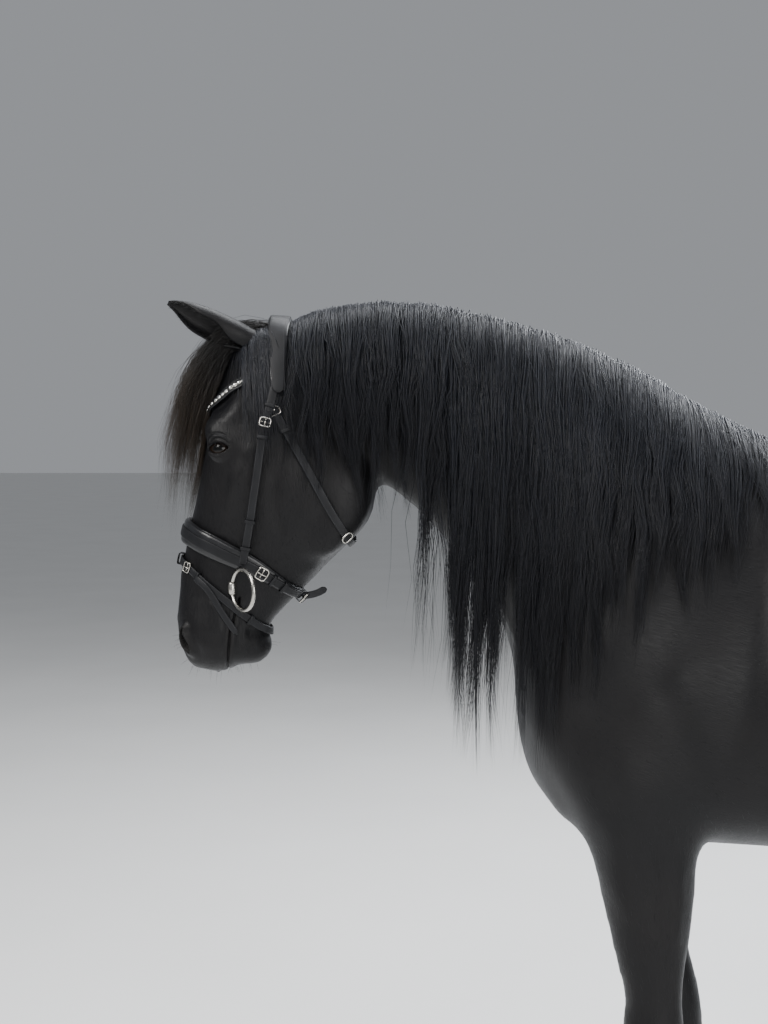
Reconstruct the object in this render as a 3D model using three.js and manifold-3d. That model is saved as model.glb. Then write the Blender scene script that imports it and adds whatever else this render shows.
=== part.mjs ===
// A life-size Friesian horse standing square, its neck arched and its head hanging, in a dressage bridle.
// Millimetres. x runs from the nose back to the tail, z is up, and the horse's left side is at -y.
// Places are measured from the ground between the forelegs, and the whole group is then moved to its middle.
import * as THREE from "three";
import { mergeVertices } from "three/addons/utils/BufferGeometryUtils.js";
import Module from "manifold-3d";

const wasm = await Module();
wasm.setup();

// Driving dimensions
const gap = 0.4; // left between two pieces that touch
const foreToMiddle = 317; // from the forelegs back to the middle of the whole length
const crestHair = 14; // how far the roots of the mane raise the top of the neck
const foreSpread = 125; // half of the distance between the forelegs at the elbows
const hindSpread = 150; // half of the distance between the thighs
const hoofHeight = 96;
const strapThick = 3.5;
const eyeRadius = 22;
const sides = { left: -1, right: 1 };

// Closed solids
function solid(geometry) {
  const bare = new THREE.BufferGeometry().setAttribute("position", geometry.getAttribute("position"));
  bare.setIndex(geometry.index);
  const merged = mergeVertices(bare, 1e-3);
  const triVerts = new Uint32Array(merged.index.array);
  const vertProperties = new Float32Array(merged.attributes.position.array);
  const made = new wasm.Manifold(new wasm.Mesh({ numProp: 3, vertProperties, triVerts }));
  if (made.volume() > 0) return made;
  for (let i = 0; i < triVerts.length; i += 3) {
    [triVerts[i + 1], triVerts[i + 2]] = [triVerts[i + 2], triVerts[i + 1]];
  }
  return new wasm.Manifold(new wasm.Mesh({ numProp: 3, vertProperties, triVerts }));
}

// A skin over rings of points, closed by one point at each end.
function skinOver(rings, start, end) {
  const around = rings[0].length;
  const last = rings.length + 1;
  const geometry = new THREE.SphereGeometry(1, around, last);
  const position = geometry.getAttribute("position");
  for (let row = 0; row <= last; row++) {
    for (let column = 0; column <= around; column++) {
      const point = row === 0 ? start : row === last ? end : rings[row - 1][column % around];
      position.setXYZ(row * (around + 1) + column, point.x, point.y, point.z);
    }
  }
  return solid(geometry);
}

const bulge = (value, power) => Math.sign(value) * Math.abs(value) ** (2 / power);

// A body through a row of sections, `spans` rings long. Each has two points in the side view, `from` and `to`, and a half width.
// `wide` says how far from `to` towards `from` it is widest, and a `round` over 2 squares that half off.
function loft(sections, { around = 24, spans, caps = [10, 10], grow = 0, mirror = 1, slide = () => 0 } = {}) {
  const line = (pick) => new THREE.CatmullRomCurve3(sections.map(pick), false, "catmullrom", 0.5);
  const place = (s, [x, z]) => new THREE.Vector3(x + slide(z), (s.side ?? 0) * mirror, z);
  const fromLine = line((s) => place(s, s.from));
  const toLine = line((s) => place(s, s.to));
  const sizes = line((s) => new THREE.Vector3(s.half, s.roundFrom ?? 2, s.roundTo ?? 2));
  const levels = line((s) => new THREE.Vector3(s.wide ?? 0.5, 0, 0));
  const centreAt = (t) => toLine.getPoint(t).lerp(fromLine.getPoint(t), levels.getPoint(t).x);
  const ringAt = (t, scale, shift) => {
    const axis = fromLine.getPoint(t).sub(toLine.getPoint(t));
    const length = axis.length();
    axis.normalize();
    const wide = levels.getPoint(t).x;
    const size = sizes.getPoint(t);
    const centre = centreAt(t).add(shift);
    return Array.from({ length: around }, (_, column) => {
      const angle = (2 * Math.PI * column) / around;
      const up = Math.sin(angle) > 0;
      const power = up ? size.y : size.z;
      const reach = ((up ? 1 - wide : wide) * length + grow) * scale;
      const out = centre.clone().addScaledVector(axis, reach * bulge(Math.sin(angle), power));
      out.y += (size.x + grow) * scale * bulge(Math.cos(angle), power);
      return out;
    });
  };
  const rings = [];
  const capRows = 2;
  const endShift = (t, beside, cap) => centreAt(t).sub(centreAt(beside)).normalize().multiplyScalar(cap + grow);
  const startShift = endShift(0, 1 / spans, caps[0]);
  const lastShift = endShift(1, 1 - 1 / spans, caps[1]);
  const capAngle = (row) => (row / (capRows + 1)) * (Math.PI / 2);
  for (let row = 1; row <= capRows; row++) {
    const shift = startShift.clone().multiplyScalar(Math.cos(capAngle(row)));
    rings.push(ringAt(0, Math.sin(capAngle(row)), shift));
  }
  for (let row = 0; row <= spans; row++) rings.push(ringAt(row / spans, 1, new THREE.Vector3()));
  for (let row = capRows; row >= 1; row--) {
    const shift = lastShift.clone().multiplyScalar(Math.cos(capAngle(row)));
    rings.push(ringAt(1, Math.sin(capAngle(row)), shift));
  }
  return skinOver(rings, centreAt(0).add(startShift), centreAt(1).add(lastShift));
}

// A ball stretched to three radii, then turned about y and moved.
function ball(place, radii, { tilt = 0, around = 16, rows = 12 } = {}) {
  const geometry = new THREE.SphereGeometry(1, around, rows);
  geometry.scale(...radii);
  geometry.rotateY(THREE.MathUtils.degToRad(tilt));
  geometry.translate(...place);
  return solid(geometry);
}

// All of space past a point of the side view, in the direction of an angle from +x towards +z.
function beyond([x, z], degrees) {
  const reach = 4000;
  const geometry = new THREE.BoxGeometry(reach, reach, reach).translate(reach / 2, 0, 0);
  geometry.rotateY(-THREE.MathUtils.degToRad(degrees));
  geometry.translate(x, 0, z);
  return solid(geometry);
}

const mirrored = ([x, y, z], mirror) => [x, y * mirror, z];
const join = (pieces) => pieces.reduce((all, piece) => all.add(piece));
const largest = (piece) => piece.decompose().sort((a, b) => b.volume() - a.volume())[0];

// A number between 0 and 1 that depends only on its seed.
const chance = (seed) => {
  const wave = Math.sin(seed * 127.1 + 11.7) * 43758.5453;
  return wave - Math.floor(wave);
};
const vary = (seed, low, high) => low + (high - low) * chance(seed);

// The trunk and neck, from the buttocks forward to the poll: topline and underline
const trunkSections = [
  { from: [1322, 1392], to: [1350, 1130], half: 80 },
  { from: [1245, 1466], to: [1322, 1020], half: 180, wide: 0.55 },
  { from: [1110, 1530], to: [1190, 968], half: 252, wide: 0.56 },
  { from: [950, 1572], to: [990, 950], half: 280, wide: 0.58, roundFrom: 2.1 },
  { from: [780, 1556], to: [790, 908], half: 280, wide: 0.54, roundFrom: 2.2 },
  { from: [600, 1522], to: [590, 858], half: 294, wide: 0.48, roundFrom: 2.2 },
  { from: [430, 1522], to: [390, 840], half: 294, wide: 0.46, roundFrom: 2.1 },
  { from: [300, 1558], to: [205, 848], half: 274, wide: 0.44, roundFrom: 1.8 },
  { from: [215, 1590], to: [45, 858], half: 250, wide: 0.42, roundFrom: 1.6 },
  { from: [145, 1622], to: [-100, 888], half: 238, wide: 0.4, roundFrom: 1.5, roundTo: 2.1 },
  { from: [70, 1664], to: [-188, 965], half: 225, wide: 0.38, roundFrom: 1.45, roundTo: 2.2 },
  { from: [-5, 1707], to: [-222, 1075], half: 196, wide: 0.38, roundFrom: 1.45, roundTo: 2.2 },
  { from: [-90, 1744], to: [-236, 1178], half: 158, wide: 0.4, roundFrom: 1.5 },
  { from: [-180, 1777], to: [-262, 1270], half: 130, wide: 0.42, roundFrom: 1.55 },
  { from: [-280, 1803], to: [-308, 1355], half: 110, wide: 0.44, roundFrom: 1.6 },
  { from: [-380, 1820], to: [-372, 1432], half: 97, wide: 0.48, roundFrom: 1.7 },
  { from: [-480, 1822], to: [-440, 1492], half: 90, wide: 0.5, roundFrom: 1.8 },
  { from: [-570, 1808], to: [-505, 1530], half: 84, wide: 0.52 },
  { from: [-640, 1778], to: [-570, 1560], half: 70, wide: 0.52 },
];
const trunk = (grow = 0) => loft(trunkSections, { around: 22, spans: 30, caps: [22, 30], grow });

// The head, from the poll down to the lips: face line and jaw line
const headSections = [
  { from: [-682, 1782], to: [-560, 1735], half: 66, roundFrom: 2.2 },
  { from: [-722, 1738], to: [-508, 1640], half: 84, roundFrom: 2.4 },
  { from: [-748, 1688], to: [-482, 1550], half: 98, wide: 0.55, roundFrom: 2.5 },
  { from: [-764, 1632], to: [-470, 1484], half: 108, wide: 0.62, roundFrom: 2.6, roundTo: 2.2 },
  { from: [-772, 1575], to: [-482, 1434], half: 109, wide: 0.66, roundFrom: 2.6, roundTo: 2.3 },
  { from: [-783, 1520], to: [-520, 1392], half: 97, wide: 0.64, roundFrom: 2.4, roundTo: 2.3 },
  { from: [-797, 1462], to: [-562, 1350], half: 80, wide: 0.6, roundFrom: 2.3, roundTo: 2.2 },
  { from: [-811, 1405], to: [-602, 1308], half: 66, wide: 0.56, roundFrom: 2.2 },
  { from: [-822, 1350], to: [-638, 1272], half: 57, wide: 0.54 },
  { from: [-829, 1300], to: [-662, 1244], half: 55, wide: 0.52 },
  { from: [-832, 1254], to: [-664, 1228], half: 59, wide: 0.56 },
  { from: [-829, 1216], to: [-656, 1208], half: 59, wide: 0.58, roundTo: 2.3 },
  { from: [-812, 1180], to: [-670, 1194], half: 47, wide: 0.58, roundTo: 2.3 },
];
const head = (grow = 0) => loft(headSections, { around: 22, spans: 19, caps: [22, 20], grow });

// Legs: the front and the back of each, from inside the body down to the crown of the hoof
const upright = (z, x, halfLength, half, side, more = {}) => ({
  from: [x - halfLength, z],
  to: [x + halfLength, z],
  half,
  side,
  ...more,
});
const foreSections = [
  upright(1210, -30, 60, 45, foreSpread + 20),
  upright(1100, -45, 112, 80, foreSpread + 22),
  upright(1000, -34, 126, 88, foreSpread + 16),
  upright(920, -12, 112, 75, foreSpread + 6),
  upright(850, -2, 93, 64, foreSpread),
  upright(760, 7, 78, 55, foreSpread - 2),
  upright(665, 14, 65, 47, foreSpread - 4),
  upright(590, 20, 55, 44, foreSpread - 6),
  upright(525, 22, 55, 48, foreSpread - 7),
  upright(462, 24, 49, 45, foreSpread - 8),
  upright(405, 29, 38, 34, foreSpread - 9),
  upright(330, 31, 34, 27, foreSpread - 10),
  upright(268, 33, 38, 32, foreSpread - 10),
  upright(228, 29, 42, 37, foreSpread - 10),
  upright(180, 13, 38, 36, foreSpread - 10),
  upright(135, -7, 43, 43, foreSpread - 10),
  upright(102, -22, 54, 52, foreSpread - 10),
  upright(62, -24, 48, 44, foreSpread - 10),
];
const hindSections = [
  upright(1400, 1090, 110, 40, hindSpread),
  upright(1320, 1112, 185, 92, hindSpread + 2),
  upright(1220, 1130, 216, 108, hindSpread + 4),
  upright(1110, 1124, 212, 114, hindSpread),
  upright(1000, 1108, 182, 98, hindSpread - 5),
  upright(900, 1135, 136, 78, hindSpread - 12),
  upright(810, 1178, 99, 62, hindSpread - 18),
  upright(730, 1220, 76, 50, hindSpread - 22),
  upright(665, 1252, 73, 43, hindSpread - 24),
  upright(610, 1262, 68, 45, hindSpread - 25),
  upright(555, 1266, 58, 46, hindSpread - 26),
  upright(500, 1270, 46, 39, hindSpread - 27),
  upright(430, 1275, 38, 31, hindSpread - 28),
  upright(340, 1277, 36, 29, hindSpread - 28),
  upright(275, 1277, 40, 33, hindSpread - 28),
  upright(235, 1274, 44, 38, hindSpread - 28),
  upright(188, 1258, 38, 37, hindSpread - 28),
  upright(138, 1236, 43, 43, hindSpread - 28),
  upright(102, 1221, 54, 52, hindSpread - 28),
  upright(62, 1219, 48, 44, hindSpread - 28),
];
// How far back each leg stands at the ground: it starts to slant below `from` and slants `lean` per unit of height
const legKinds = {
  fore: { sections: foreSections, cut: [[0, 925], -90], hoofX: -22, hoofY: foreSpread - 10, lean: [0, 0.15] },
  hind: { sections: hindSections, cut: [[1100, 985], -78], hoofX: 1221, hoofY: hindSpread - 28, lean: [0.02, -0.08] },
};
const slideOf = (kind, mirror) => (z) => legKinds[kind].lean[mirror < 0 ? 0 : 1] * Math.max(0, 1050 - Math.max(z, 100));
const leg = (kind, mirror, grow = 0) =>
  loft(legKinds[kind].sections, { around: 10, spans: 18, caps: [10, 4], mirror, grow, slide: slideOf(kind, mirror) });

// A hoof: wider at the ground, its toe wall and its heels sloping forward
function hoof(kind, mirror, grow = 0) {
  const { hoofX, hoofY } = legKinds[kind];
  const geometry = new THREE.CylinderGeometry(1, 1, 1, 16, 1);
  const position = geometry.getAttribute("position");
  for (let i = 0; i < position.count; i++) {
    const top = position.getY(i) > 0;
    const along = position.getX(i);
    const x = hoofX + slideOf(kind, mirror)(0) + (top ? -2 : -34) + along * ((top ? 54 : 72) + grow);
    const y = hoofY * mirror + position.getZ(i) * ((top ? 53 : 66) + grow);
    const rise = top ? hoofHeight - (along + 1) * 16 + grow : -grow;
    position.setXYZ(i, x, y, rise);
  }
  return solid(geometry);
}

const trunkSolid = trunk();
const headSolid = head();
const trunkGrown = trunk(gap);
const headGrown = head(gap);

// Where the flesh is cut into nodes
const neckCut = [[240, 1585], 135];
const aheadOf = (cut) => beyond(...cut);
const behind = ([[x, z], degrees], clear = gap) => {
  const turn = THREE.MathUtils.degToRad(degrees);
  return beyond([x - clear * Math.cos(turn), z - clear * Math.sin(turn)], degrees + 180);
};

// What lies where: the outer half width of the body at a point of the side view
const rayMesh = (piece) => {
  const { vertProperties, triVerts } = piece.getMesh();
  const geometry = new THREE.BufferGeometry();
  geometry.setAttribute("position", new THREE.BufferAttribute(vertProperties, 3));
  geometry.setIndex(new THREE.BufferAttribute(triVerts, 1));
  return new THREE.Mesh(geometry, new THREE.MeshBasicMaterial({ side: THREE.DoubleSide }));
};
const bodySolid = join([
  trunkSolid,
  headSolid,
  ...Object.values(sides).flatMap((mirror) => [leg("fore", mirror), leg("hind", mirror)]),
]);
const bodyMesh = rayMesh(bodySolid);
const ray = new THREE.Raycaster();
const halfWidthAt = (x, z) => {
  ray.set(new THREE.Vector3(x, -1000, z), new THREE.Vector3(0, 1, 0));
  const hit = ray.intersectObject(bodyMesh)[0];
  return hit ? Math.max(0, -hit.point.y) : 0;
};

// A flat tapered lock of hair along a path. Its broad face turns to `out`, with one edge tucked in like a slat.
function lock(path, { width, thick, out, tuck = 0.25, tipShare = 0.25, fullest = 0.35, rootShare = 0.7 }) {
  const rings = path.slice(1, -1).map((centre, i) => {
    const along = path[i + 2].clone().sub(path[i]).normalize();
    const across = new THREE.Vector3().crossVectors(out[i + 1], along).normalize();
    const outward = new THREE.Vector3().crossVectors(along, across).normalize();
    const share = (i + 1) / (path.length - 1);
    const narrowing = ((share - fullest) / (1 - fullest)) ** 1.5;
    const taper = share < fullest ? rootShare + ((1 - rootShare) * share) / fullest : 1 - (1 - tipShare) * narrowing;
    const halfWidth = (width / 2) * taper;
    return [
      centre.clone().addScaledVector(across, halfWidth).addScaledVector(outward, -thick * tuck),
      centre.clone().addScaledVector(outward, thick * Math.max(taper, 0.5)),
      centre.clone().addScaledVector(across, -halfWidth).addScaledVector(outward, thick * tuck * 0.5),
    ];
  });
  return skinOver(rings, path[0], path.at(-1));
}

// The mane: locks rooted along the crest, hanging down both sides of the neck
const crestLine = new THREE.CatmullRomCurve3(
  trunkSections.slice(8, -1).map((s) => new THREE.Vector3(s.from[0], 0, s.from[1])),
);
const maneLengths = {
  left: [270, 400, 540, 700, 740, 730, 640, 430, 330],
  right: [220, 330, 470, 600, 620, 560, 480, 360, 300],
};
const lengthAt = (list, share) => {
  const place = share * (list.length - 1);
  const low = Math.min(Math.floor(place), list.length - 2);
  return THREE.MathUtils.lerp(list[low], list[low + 1], place - low);
};
const hairSteps = [0, 0.07, 0.2, 0.4, 0.6, 0.8, 1];
function maneLock(sideName, share, seed, layer) {
  const mirror = sides[sideName];
  const root = crestLine.getPointAt(share);
  const length = lengthAt([...maneLengths[sideName]].reverse(), share) * vary(seed, 0.88, 1.06) * (1 - 0.25 * layer);
  const lean = vary(seed + 0.3, -12, 16) - 40 * Math.max(0, 0.25 - share);
  let reach = 0;
  const path = hairSteps.map((drop) => {
    const x = root.x + lean * drop + 6 * Math.sin(drop * 5 + seed * 3);
    const z = root.z + crestHair * (1 - drop) - drop * length - 40 * (drop === 0);
    if (drop > 0) reach = Math.max(reach, halfWidthAt(x, z) + 6 + layer * 12);
    return new THREE.Vector3(x, mirror * (drop === 0 ? 4 : reach), z);
  });
  const out = path.map((_, i) => new THREE.Vector3(0, mirror, i < 3 ? 1.2 - 0.4 * i : 0));
  return lock(path, { width: vary(seed + 0.7, 64, 76), thick: 9, out, tuck: 0.3 });
}
const maneCounts = { left: 16, right: 13 };
const maneLocks = [];
for (const [sideName, count] of Object.entries(maneCounts)) {
  for (let i = 0; i < count; i++) {
    const seed = i + (sideName === "left" ? 0 : 77);
    maneLocks.push(maneLock(sideName, 0.02 + ((i + vary(seed, 0.35, 0.65)) / count) * 0.96, seed, i % 2));
  }
}

// The forelock: locks from between the ears, standing off the forehead and falling in front of the eyes
const forelockCount = 7;
function forelockLock(share, seed) {
  const spread = (share - 0.5) * 2;
  const tip = { x: -838 + 26 * Math.abs(spread) + vary(seed, -8, 14), z: vary(seed + 0.5, 1462, 1520) };
  const steps = [0, 0.14, 0.32, 0.55, 0.78, 1];
  const path = steps.map((step) => {
    const bow = Math.sin(Math.PI * Math.min(1, step * 1.25)) * 22;
    const x = THREE.MathUtils.lerp(-676, tip.x, step ** 0.72) - bow;
    const z = THREE.MathUtils.lerp(1792 - 28 * (step === 0), tip.z, step ** 1.05) + bow * 0.6;
    return new THREE.Vector3(x, spread * (34 + 52 * step ** 0.8), z);
  });
  const out = path.map(() => new THREE.Vector3(-1, spread * 0.9, 0.35));
  return lock(path, { width: vary(seed + 0.2, 36, 44), thick: 7, out, rootShare: 0.35 });
}
const forelockLocks = Array.from({ length: forelockCount }, (_, i) => forelockLock((i + 0.5) / forelockCount, i + 3));

// The tail: a short fleshy dock, and locks that leave it all round and hang almost to the ground
const dockSections = [
  { from: [1248, 1478], to: [1290, 1400], half: 40 },
  { from: [1305, 1462], to: [1330, 1385], half: 38 },
  { from: [1362, 1418], to: [1342, 1340], half: 33 },
  { from: [1398, 1340], to: [1350, 1280], half: 28 },
  { from: [1412, 1240], to: [1366, 1200], half: 22 },
];
const dock = (grow = 0) => loft(dockSections, { around: 10, spans: 6, caps: [12, 20], grow });
const dockLine = new THREE.CatmullRomCurve3(
  dockSections.map((s) => new THREE.Vector3((s.from[0] + s.to[0]) / 2, 0, (s.from[1] + s.to[1]) / 2)),
);
// The hair is dense under the locks, down to about half of its length
const tailCoreSections = [
  { from: [1340, 1360], to: [1400, 1360], half: 24 },
  { from: [1366, 1200], to: [1428, 1200], half: 40 },
  { from: [1368, 1000], to: [1428, 1000], half: 40 },
  { from: [1385, 780], to: [1412, 780], half: 18 },
];
const tailMiddle = 1398;
function tailLock(turn, seed) {
  const away = new THREE.Vector3(Math.cos(turn), Math.sin(turn), 0);
  const root = dockLine.getPointAt(0.5 + 0.12 * Math.cos(turn));
  const bottom = vary(seed, 80, 190);
  const path = hairSteps.map((drop) => {
    const fullness = drop === 0 ? 0.1 : 0.5 + 0.5 * Math.sin(Math.PI * Math.min(1, 0.1 + drop * 0.75));
    const wave = 6 * Math.sin(drop * 9 + seed * 2);
    return new THREE.Vector3(
      THREE.MathUtils.lerp(root.x, tailMiddle, Math.min(1, drop * 3)) + away.x * 56 * fullness + wave,
      away.y * 80 * fullness + wave * 0.6,
      THREE.MathUtils.lerp(root.z + 4, bottom, drop),
    );
  });
  return lock(path, { width: vary(seed + 0.4, 58, 70), thick: 14, out: path.map(() => away), tipShare: 0.3, fullest: 0.5 });
}
const tailCount = 10;
const tailLocks = Array.from({ length: tailCount }, (_, i) => tailLock((2 * Math.PI * (i + 0.5)) / tailCount, i + 9));

// The feather: hair from the back and sides of each fetlock, down over the hoof
const featherTiers = [
  { top: 372, bottom: 190, count: 3, turn: 62, stand: 20, width: 40 },
  { top: 268, bottom: 40, count: 8, turn: 140, stand: 34, width: 56 },
];
function featherLocks(kind, mirror) {
  const sections = legKinds[kind].sections;
  const slide = slideOf(kind, mirror);
  const legAt = (z) => {
    const next = Math.max(1, sections.findIndex((s) => s.from[1] <= z));
    const [above, below] = [sections[next - 1] ?? sections[0], sections[next]];
    const share = THREE.MathUtils.clamp((above.from[1] - z) / (above.from[1] - below.from[1]), 0, 1.6);
    const mix = (pick) => THREE.MathUtils.lerp(pick(above), pick(below), share);
    return {
      x: mix((s) => (s.from[0] + s.to[0]) / 2) + slide(z),
      halfLength: mix((s) => (s.to[0] - s.from[0]) / 2),
      half: mix((s) => s.half),
      y: mix((s) => s.side) * mirror,
    };
  };
  return featherTiers.flatMap((tier, row) =>
    Array.from({ length: tier.count }, (_, i) => {
      const turn = THREE.MathUtils.degToRad(tier.turn * (2 * ((i + 0.5) / tier.count) - 1));
      const away = new THREE.Vector3(Math.cos(turn), Math.sin(turn), 0);
      const seed = i + 13 * row + (kind === "fore" ? 0 : 50) + (mirror > 0 ? 20 : 0);
      const bottom = tier.bottom + vary(seed, -14, 22);
      const path = [0, 0.16, 0.5, 0.8, 1].map((step) => {
        const z = THREE.MathUtils.lerp(tier.top, bottom, step);
        const at = legAt(Math.max(z, 102));
        const lift = step === 0 ? -12 : 2 + tier.stand * Math.sin(step * 1.8) * (1 - 0.35 * Math.abs(Math.sin(turn)));
        return new THREE.Vector3(at.x + away.x * (at.halfLength + lift), at.y + away.y * (at.half + lift), z);
      });
      return lock(path, { width: tier.width, thick: 7, out: path.map(() => away), tuck: 0.2, rootShare: 0.4 });
    }),
  );
}

// Ears: a leaf-shaped cup each, pricked forward
const earPose = { base: [-706, 45, 1752], tip: [-834, 56, 1819], width: 33, wall: 5 };
function ear(mirror, grow = 0) {
  const base = new THREE.Vector3(...mirrored(earPose.base, mirror));
  const tip = new THREE.Vector3(...mirrored(earPose.tip, mirror));
  const along = tip.clone().sub(base).normalize();
  const opening = new THREE.Vector3(-0.3, 0.75 * mirror, -0.6);
  opening.addScaledVector(along, -opening.dot(along)).normalize();
  const across = new THREE.Vector3().crossVectors(along, opening);
  const leaf = ({ extra, depth, shift, startShare, rows }) => {
    const rings = Array.from({ length: rows }, (_, row) => {
      const share = startShare + ((0.95 - startShare) * row) / (rows - 1);
      const spread = Math.max(0, share);
      const radius = Math.max(2, earPose.width * (0.72 + 0.75 * spread) * (1 - spread ** 1.7) ** 0.8 + extra);
      const centre = base.clone().lerp(tip, share).addScaledVector(opening, shift * radius - 9 * (1 - spread));
      return Array.from({ length: 10 }, (_, i) => {
        const angle = (2 * Math.PI * i) / 10;
        const point = centre.clone().addScaledVector(across, radius * Math.cos(angle));
        return point.addScaledVector(opening, radius * depth * Math.sin(angle));
      });
    });
    const start = base.clone().lerp(tip, startShare - 0.03).addScaledVector(opening, -9);
    return skinOver(rings, start, tip);
  };
  const outer = leaf({ extra: grow, depth: 0.8, shift: 0, startShare: -0.15, rows: 7 });
  if (grow) return outer;
  return outer.subtract(leaf({ extra: -earPose.wall, depth: 0.95, shift: 0.45, startShare: 0.2, rows: 5 }));
}

// Eyes, lids, nostrils and the line of the mouth
const eyePlace = [-737, 75, 1565];
const eyeOpening = { long: 22, high: 11.5, tilt: 8 };
const lidThick = 4.5;
const eye = (mirror, grow = 0) => ball(mirrored(eyePlace, mirror), Array(3).fill(eyeRadius + grow), { around: 12, rows: 7 });
const lids = (mirror) =>
  ball(mirrored(eyePlace, mirror), Array(3).fill(eyeRadius + lidThick), { around: 14, rows: 9 });
function eyeCut(mirror) {
  const arc = (sign) =>
    Array.from({ length: 5 }, (_, i) => {
      const swing = (Math.PI * i) / 5 + (sign < 0 ? Math.PI : 0);
      return new THREE.Vector2(eyeOpening.long * Math.cos(swing), eyeOpening.high * Math.sin(swing));
    });
  const depth = 60;
  const geometry = new THREE.ExtrudeGeometry(new THREE.Shape([...arc(1), ...arc(-1)]), { depth, bevelEnabled: false });
  geometry.rotateZ(THREE.MathUtils.degToRad(eyeOpening.tilt)).rotateX(Math.PI / 2);
  const [x, y, z] = mirrored(eyePlace, mirror);
  return solid(geometry.translate(x, mirror < 0 ? y : y + depth, z));
}
const nostril = (mirror) => ball(mirrored([-816, 46, 1230], mirror), [9, 14, 20], { tilt: 14, around: 9, rows: 7 });
const nostrilRim = (mirror) => ball(mirrored([-806, 32, 1233], mirror), [20, 19, 32], { tilt: 14, around: 12, rows: 8 });

// A strip of the side view cut right through from side to side
function strip(points, width) {
  const line = new THREE.CatmullRomCurve3(points.map(([x, z]) => new THREE.Vector3(x, 0, z)));
  const steps = 2 * (points.length - 1);
  const edge = (sign) =>
    Array.from({ length: steps + 1 }, (_, i) => {
      const at = line.getPoint(i / steps);
      const tangent = line.getTangent(i / steps);
      return new THREE.Vector2(at.x - tangent.z * (width / 2) * sign, at.z + tangent.x * (width / 2) * sign);
    });
  const depth = 700;
  const shape = new THREE.Shape([...edge(1), ...edge(-1).reverse()]);
  const geometry = new THREE.ExtrudeGeometry(shape, { depth, bevelEnabled: false });
  geometry.translate(0, 0, -depth / 2).rotateX(Math.PI / 2);
  return solid(geometry);
}
const mouthLine = [[-728, 1120], [-734, 1168], [-731, 1200], [-720, 1240], [-712, 1290]];
const lipGroove = () => strip(mouthLine, 3).subtract(head(-9));

// The bridle: each strap runs round the head in a slanting plane, through `from` and `to` in the side view
const headMesh = rayMesh(headSolid);
const pollMesh = rayMesh(headSolid.add(trunkSolid));
// The point where a ray leaves the surface, raised by `lift` measured square to it
const raisedAt = (mesh, origin, direction, lift) => {
  ray.set(origin, direction);
  const hit = ray.intersectObject(mesh).at(-1);
  const slant = Math.max(0.5, Math.abs(hit.face.normal.dot(direction)));
  return origin.addScaledVector(direction, hit.distance + lift / slant);
};
// Four corners of a strap at an angle round the head: 0 is at `from`, 180 at `to` and 90 on the side given by `mirror`
function strapCorners(run, degrees, { width, low, thick }) {
  const from = new THREE.Vector3(run.from[0], 0, run.from[1]);
  const to = new THREE.Vector3(run.to[0], 0, run.to[1]);
  const along = from.clone().sub(to).normalize();
  const normal = new THREE.Vector3(-along.z, 0, along.x);
  const angle = THREE.MathUtils.degToRad(degrees);
  const outward = along.clone().multiplyScalar(Math.cos(angle)).setY(Math.sin(angle));
  const sag = (run.sag ?? 0) * Math.sin(angle) ** 2;
  const middle = to.clone().lerp(from, 0.5).addScaledVector(normal, sag);
  const corner = (side, lift) => {
    const origin = middle.clone().addScaledVector(normal, (side * width) / 2);
    return raisedAt(run.over ?? headMesh, origin, outward, lift);
  };
  const top = low + thick;
  return [corner(-1, low), corner(1, low), corner(1, top), corner(-1, top)];
}
const runs = {
  crown: { from: [-642, 1830], to: [-635, 1560], over: pollMesh },
  throatlatch: { from: [-684, 1700], to: [-497, 1368] },
  browband: { from: [-780, 1612], to: [-610, 1712], sag: -8 },
  noseband: { from: [-812, 1420], to: [-572, 1283], sag: -9 },
  flash: { from: [-835, 1380], to: [-645, 1205] },
};
// An open strap between two angles, or a closed one all the way round
function strap(run, { start = 0, end = 360, steps, width, low = 2.4, thick = () => strapThick }) {
  const closed = end - start === 360;
  const rows = Array.from({ length: closed ? steps : steps + 1 }, (_, i) => {
    const share = i / steps;
    const size = { width: width(share), low, thick: thick(share) };
    return strapCorners(run, start + (end - start) * share, size);
  });
  if (!closed) {
    const middleOf = (row) => row.reduce((sum, point) => sum.add(point), new THREE.Vector3()).divideScalar(4);
    return skinOver(rows, middleOf(rows[0]), middleOf(rows.at(-1)));
  }
  const geometry = new THREE.TorusGeometry(1, 0.5, 4, steps);
  const position = geometry.getAttribute("position");
  for (let corner = 0; corner <= 4; corner++) {
    for (let row = 0; row <= steps; row++) {
      const point = rows[row % steps][corner % 4];
      position.setXYZ(corner * (steps + 1) + row, point.x, point.y, point.z);
    }
  }
  return solid(geometry);
}
// The cheekpiece hangs from the crown over the noseband to the bit
const cheekLine = new THREE.CatmullRomCurve3(
  [[-658, 1650], [-666, 1580], [-676, 1500], [-690, 1425], [-703, 1368]].map(([x, z]) => new THREE.Vector3(x, 0, z)),
);
function cheek(mirror) {
  const steps = 8;
  const rows = Array.from({ length: steps + 1 }, (_, i) => {
    const at = cheekLine.getPoint(i / steps);
    const tangent = cheekLine.getTangent(i / steps);
    const sideways = new THREE.Vector3(-tangent.z, 0, tangent.x);
    const inward = new THREE.Vector3(0, -mirror, 0);
    const lowest = Math.max(...[-8, 8].map((shift) => {
      const origin = at.clone().addScaledVector(sideways, shift).setY(mirror * 300);
      ray.set(origin, inward);
      return 300 - (ray.intersectObject(headMesh)[0]?.distance ?? 300);
    }));
    return [[-7.5, 12.5], [7.5, 12.5], [7.5, 16.5], [-7.5, 16.5]].map(([shift, lift]) =>
      at.clone().addScaledVector(sideways, shift).setY(mirror * (lowest + lift)),
    );
  });
  const middleOf = (row) => row.reduce((sum, point) => sum.add(point), new THREE.Vector3()).divideScalar(4);
  return skinOver(rows, middleOf(rows[0]), middleOf(rows.at(-1)));
}

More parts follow.
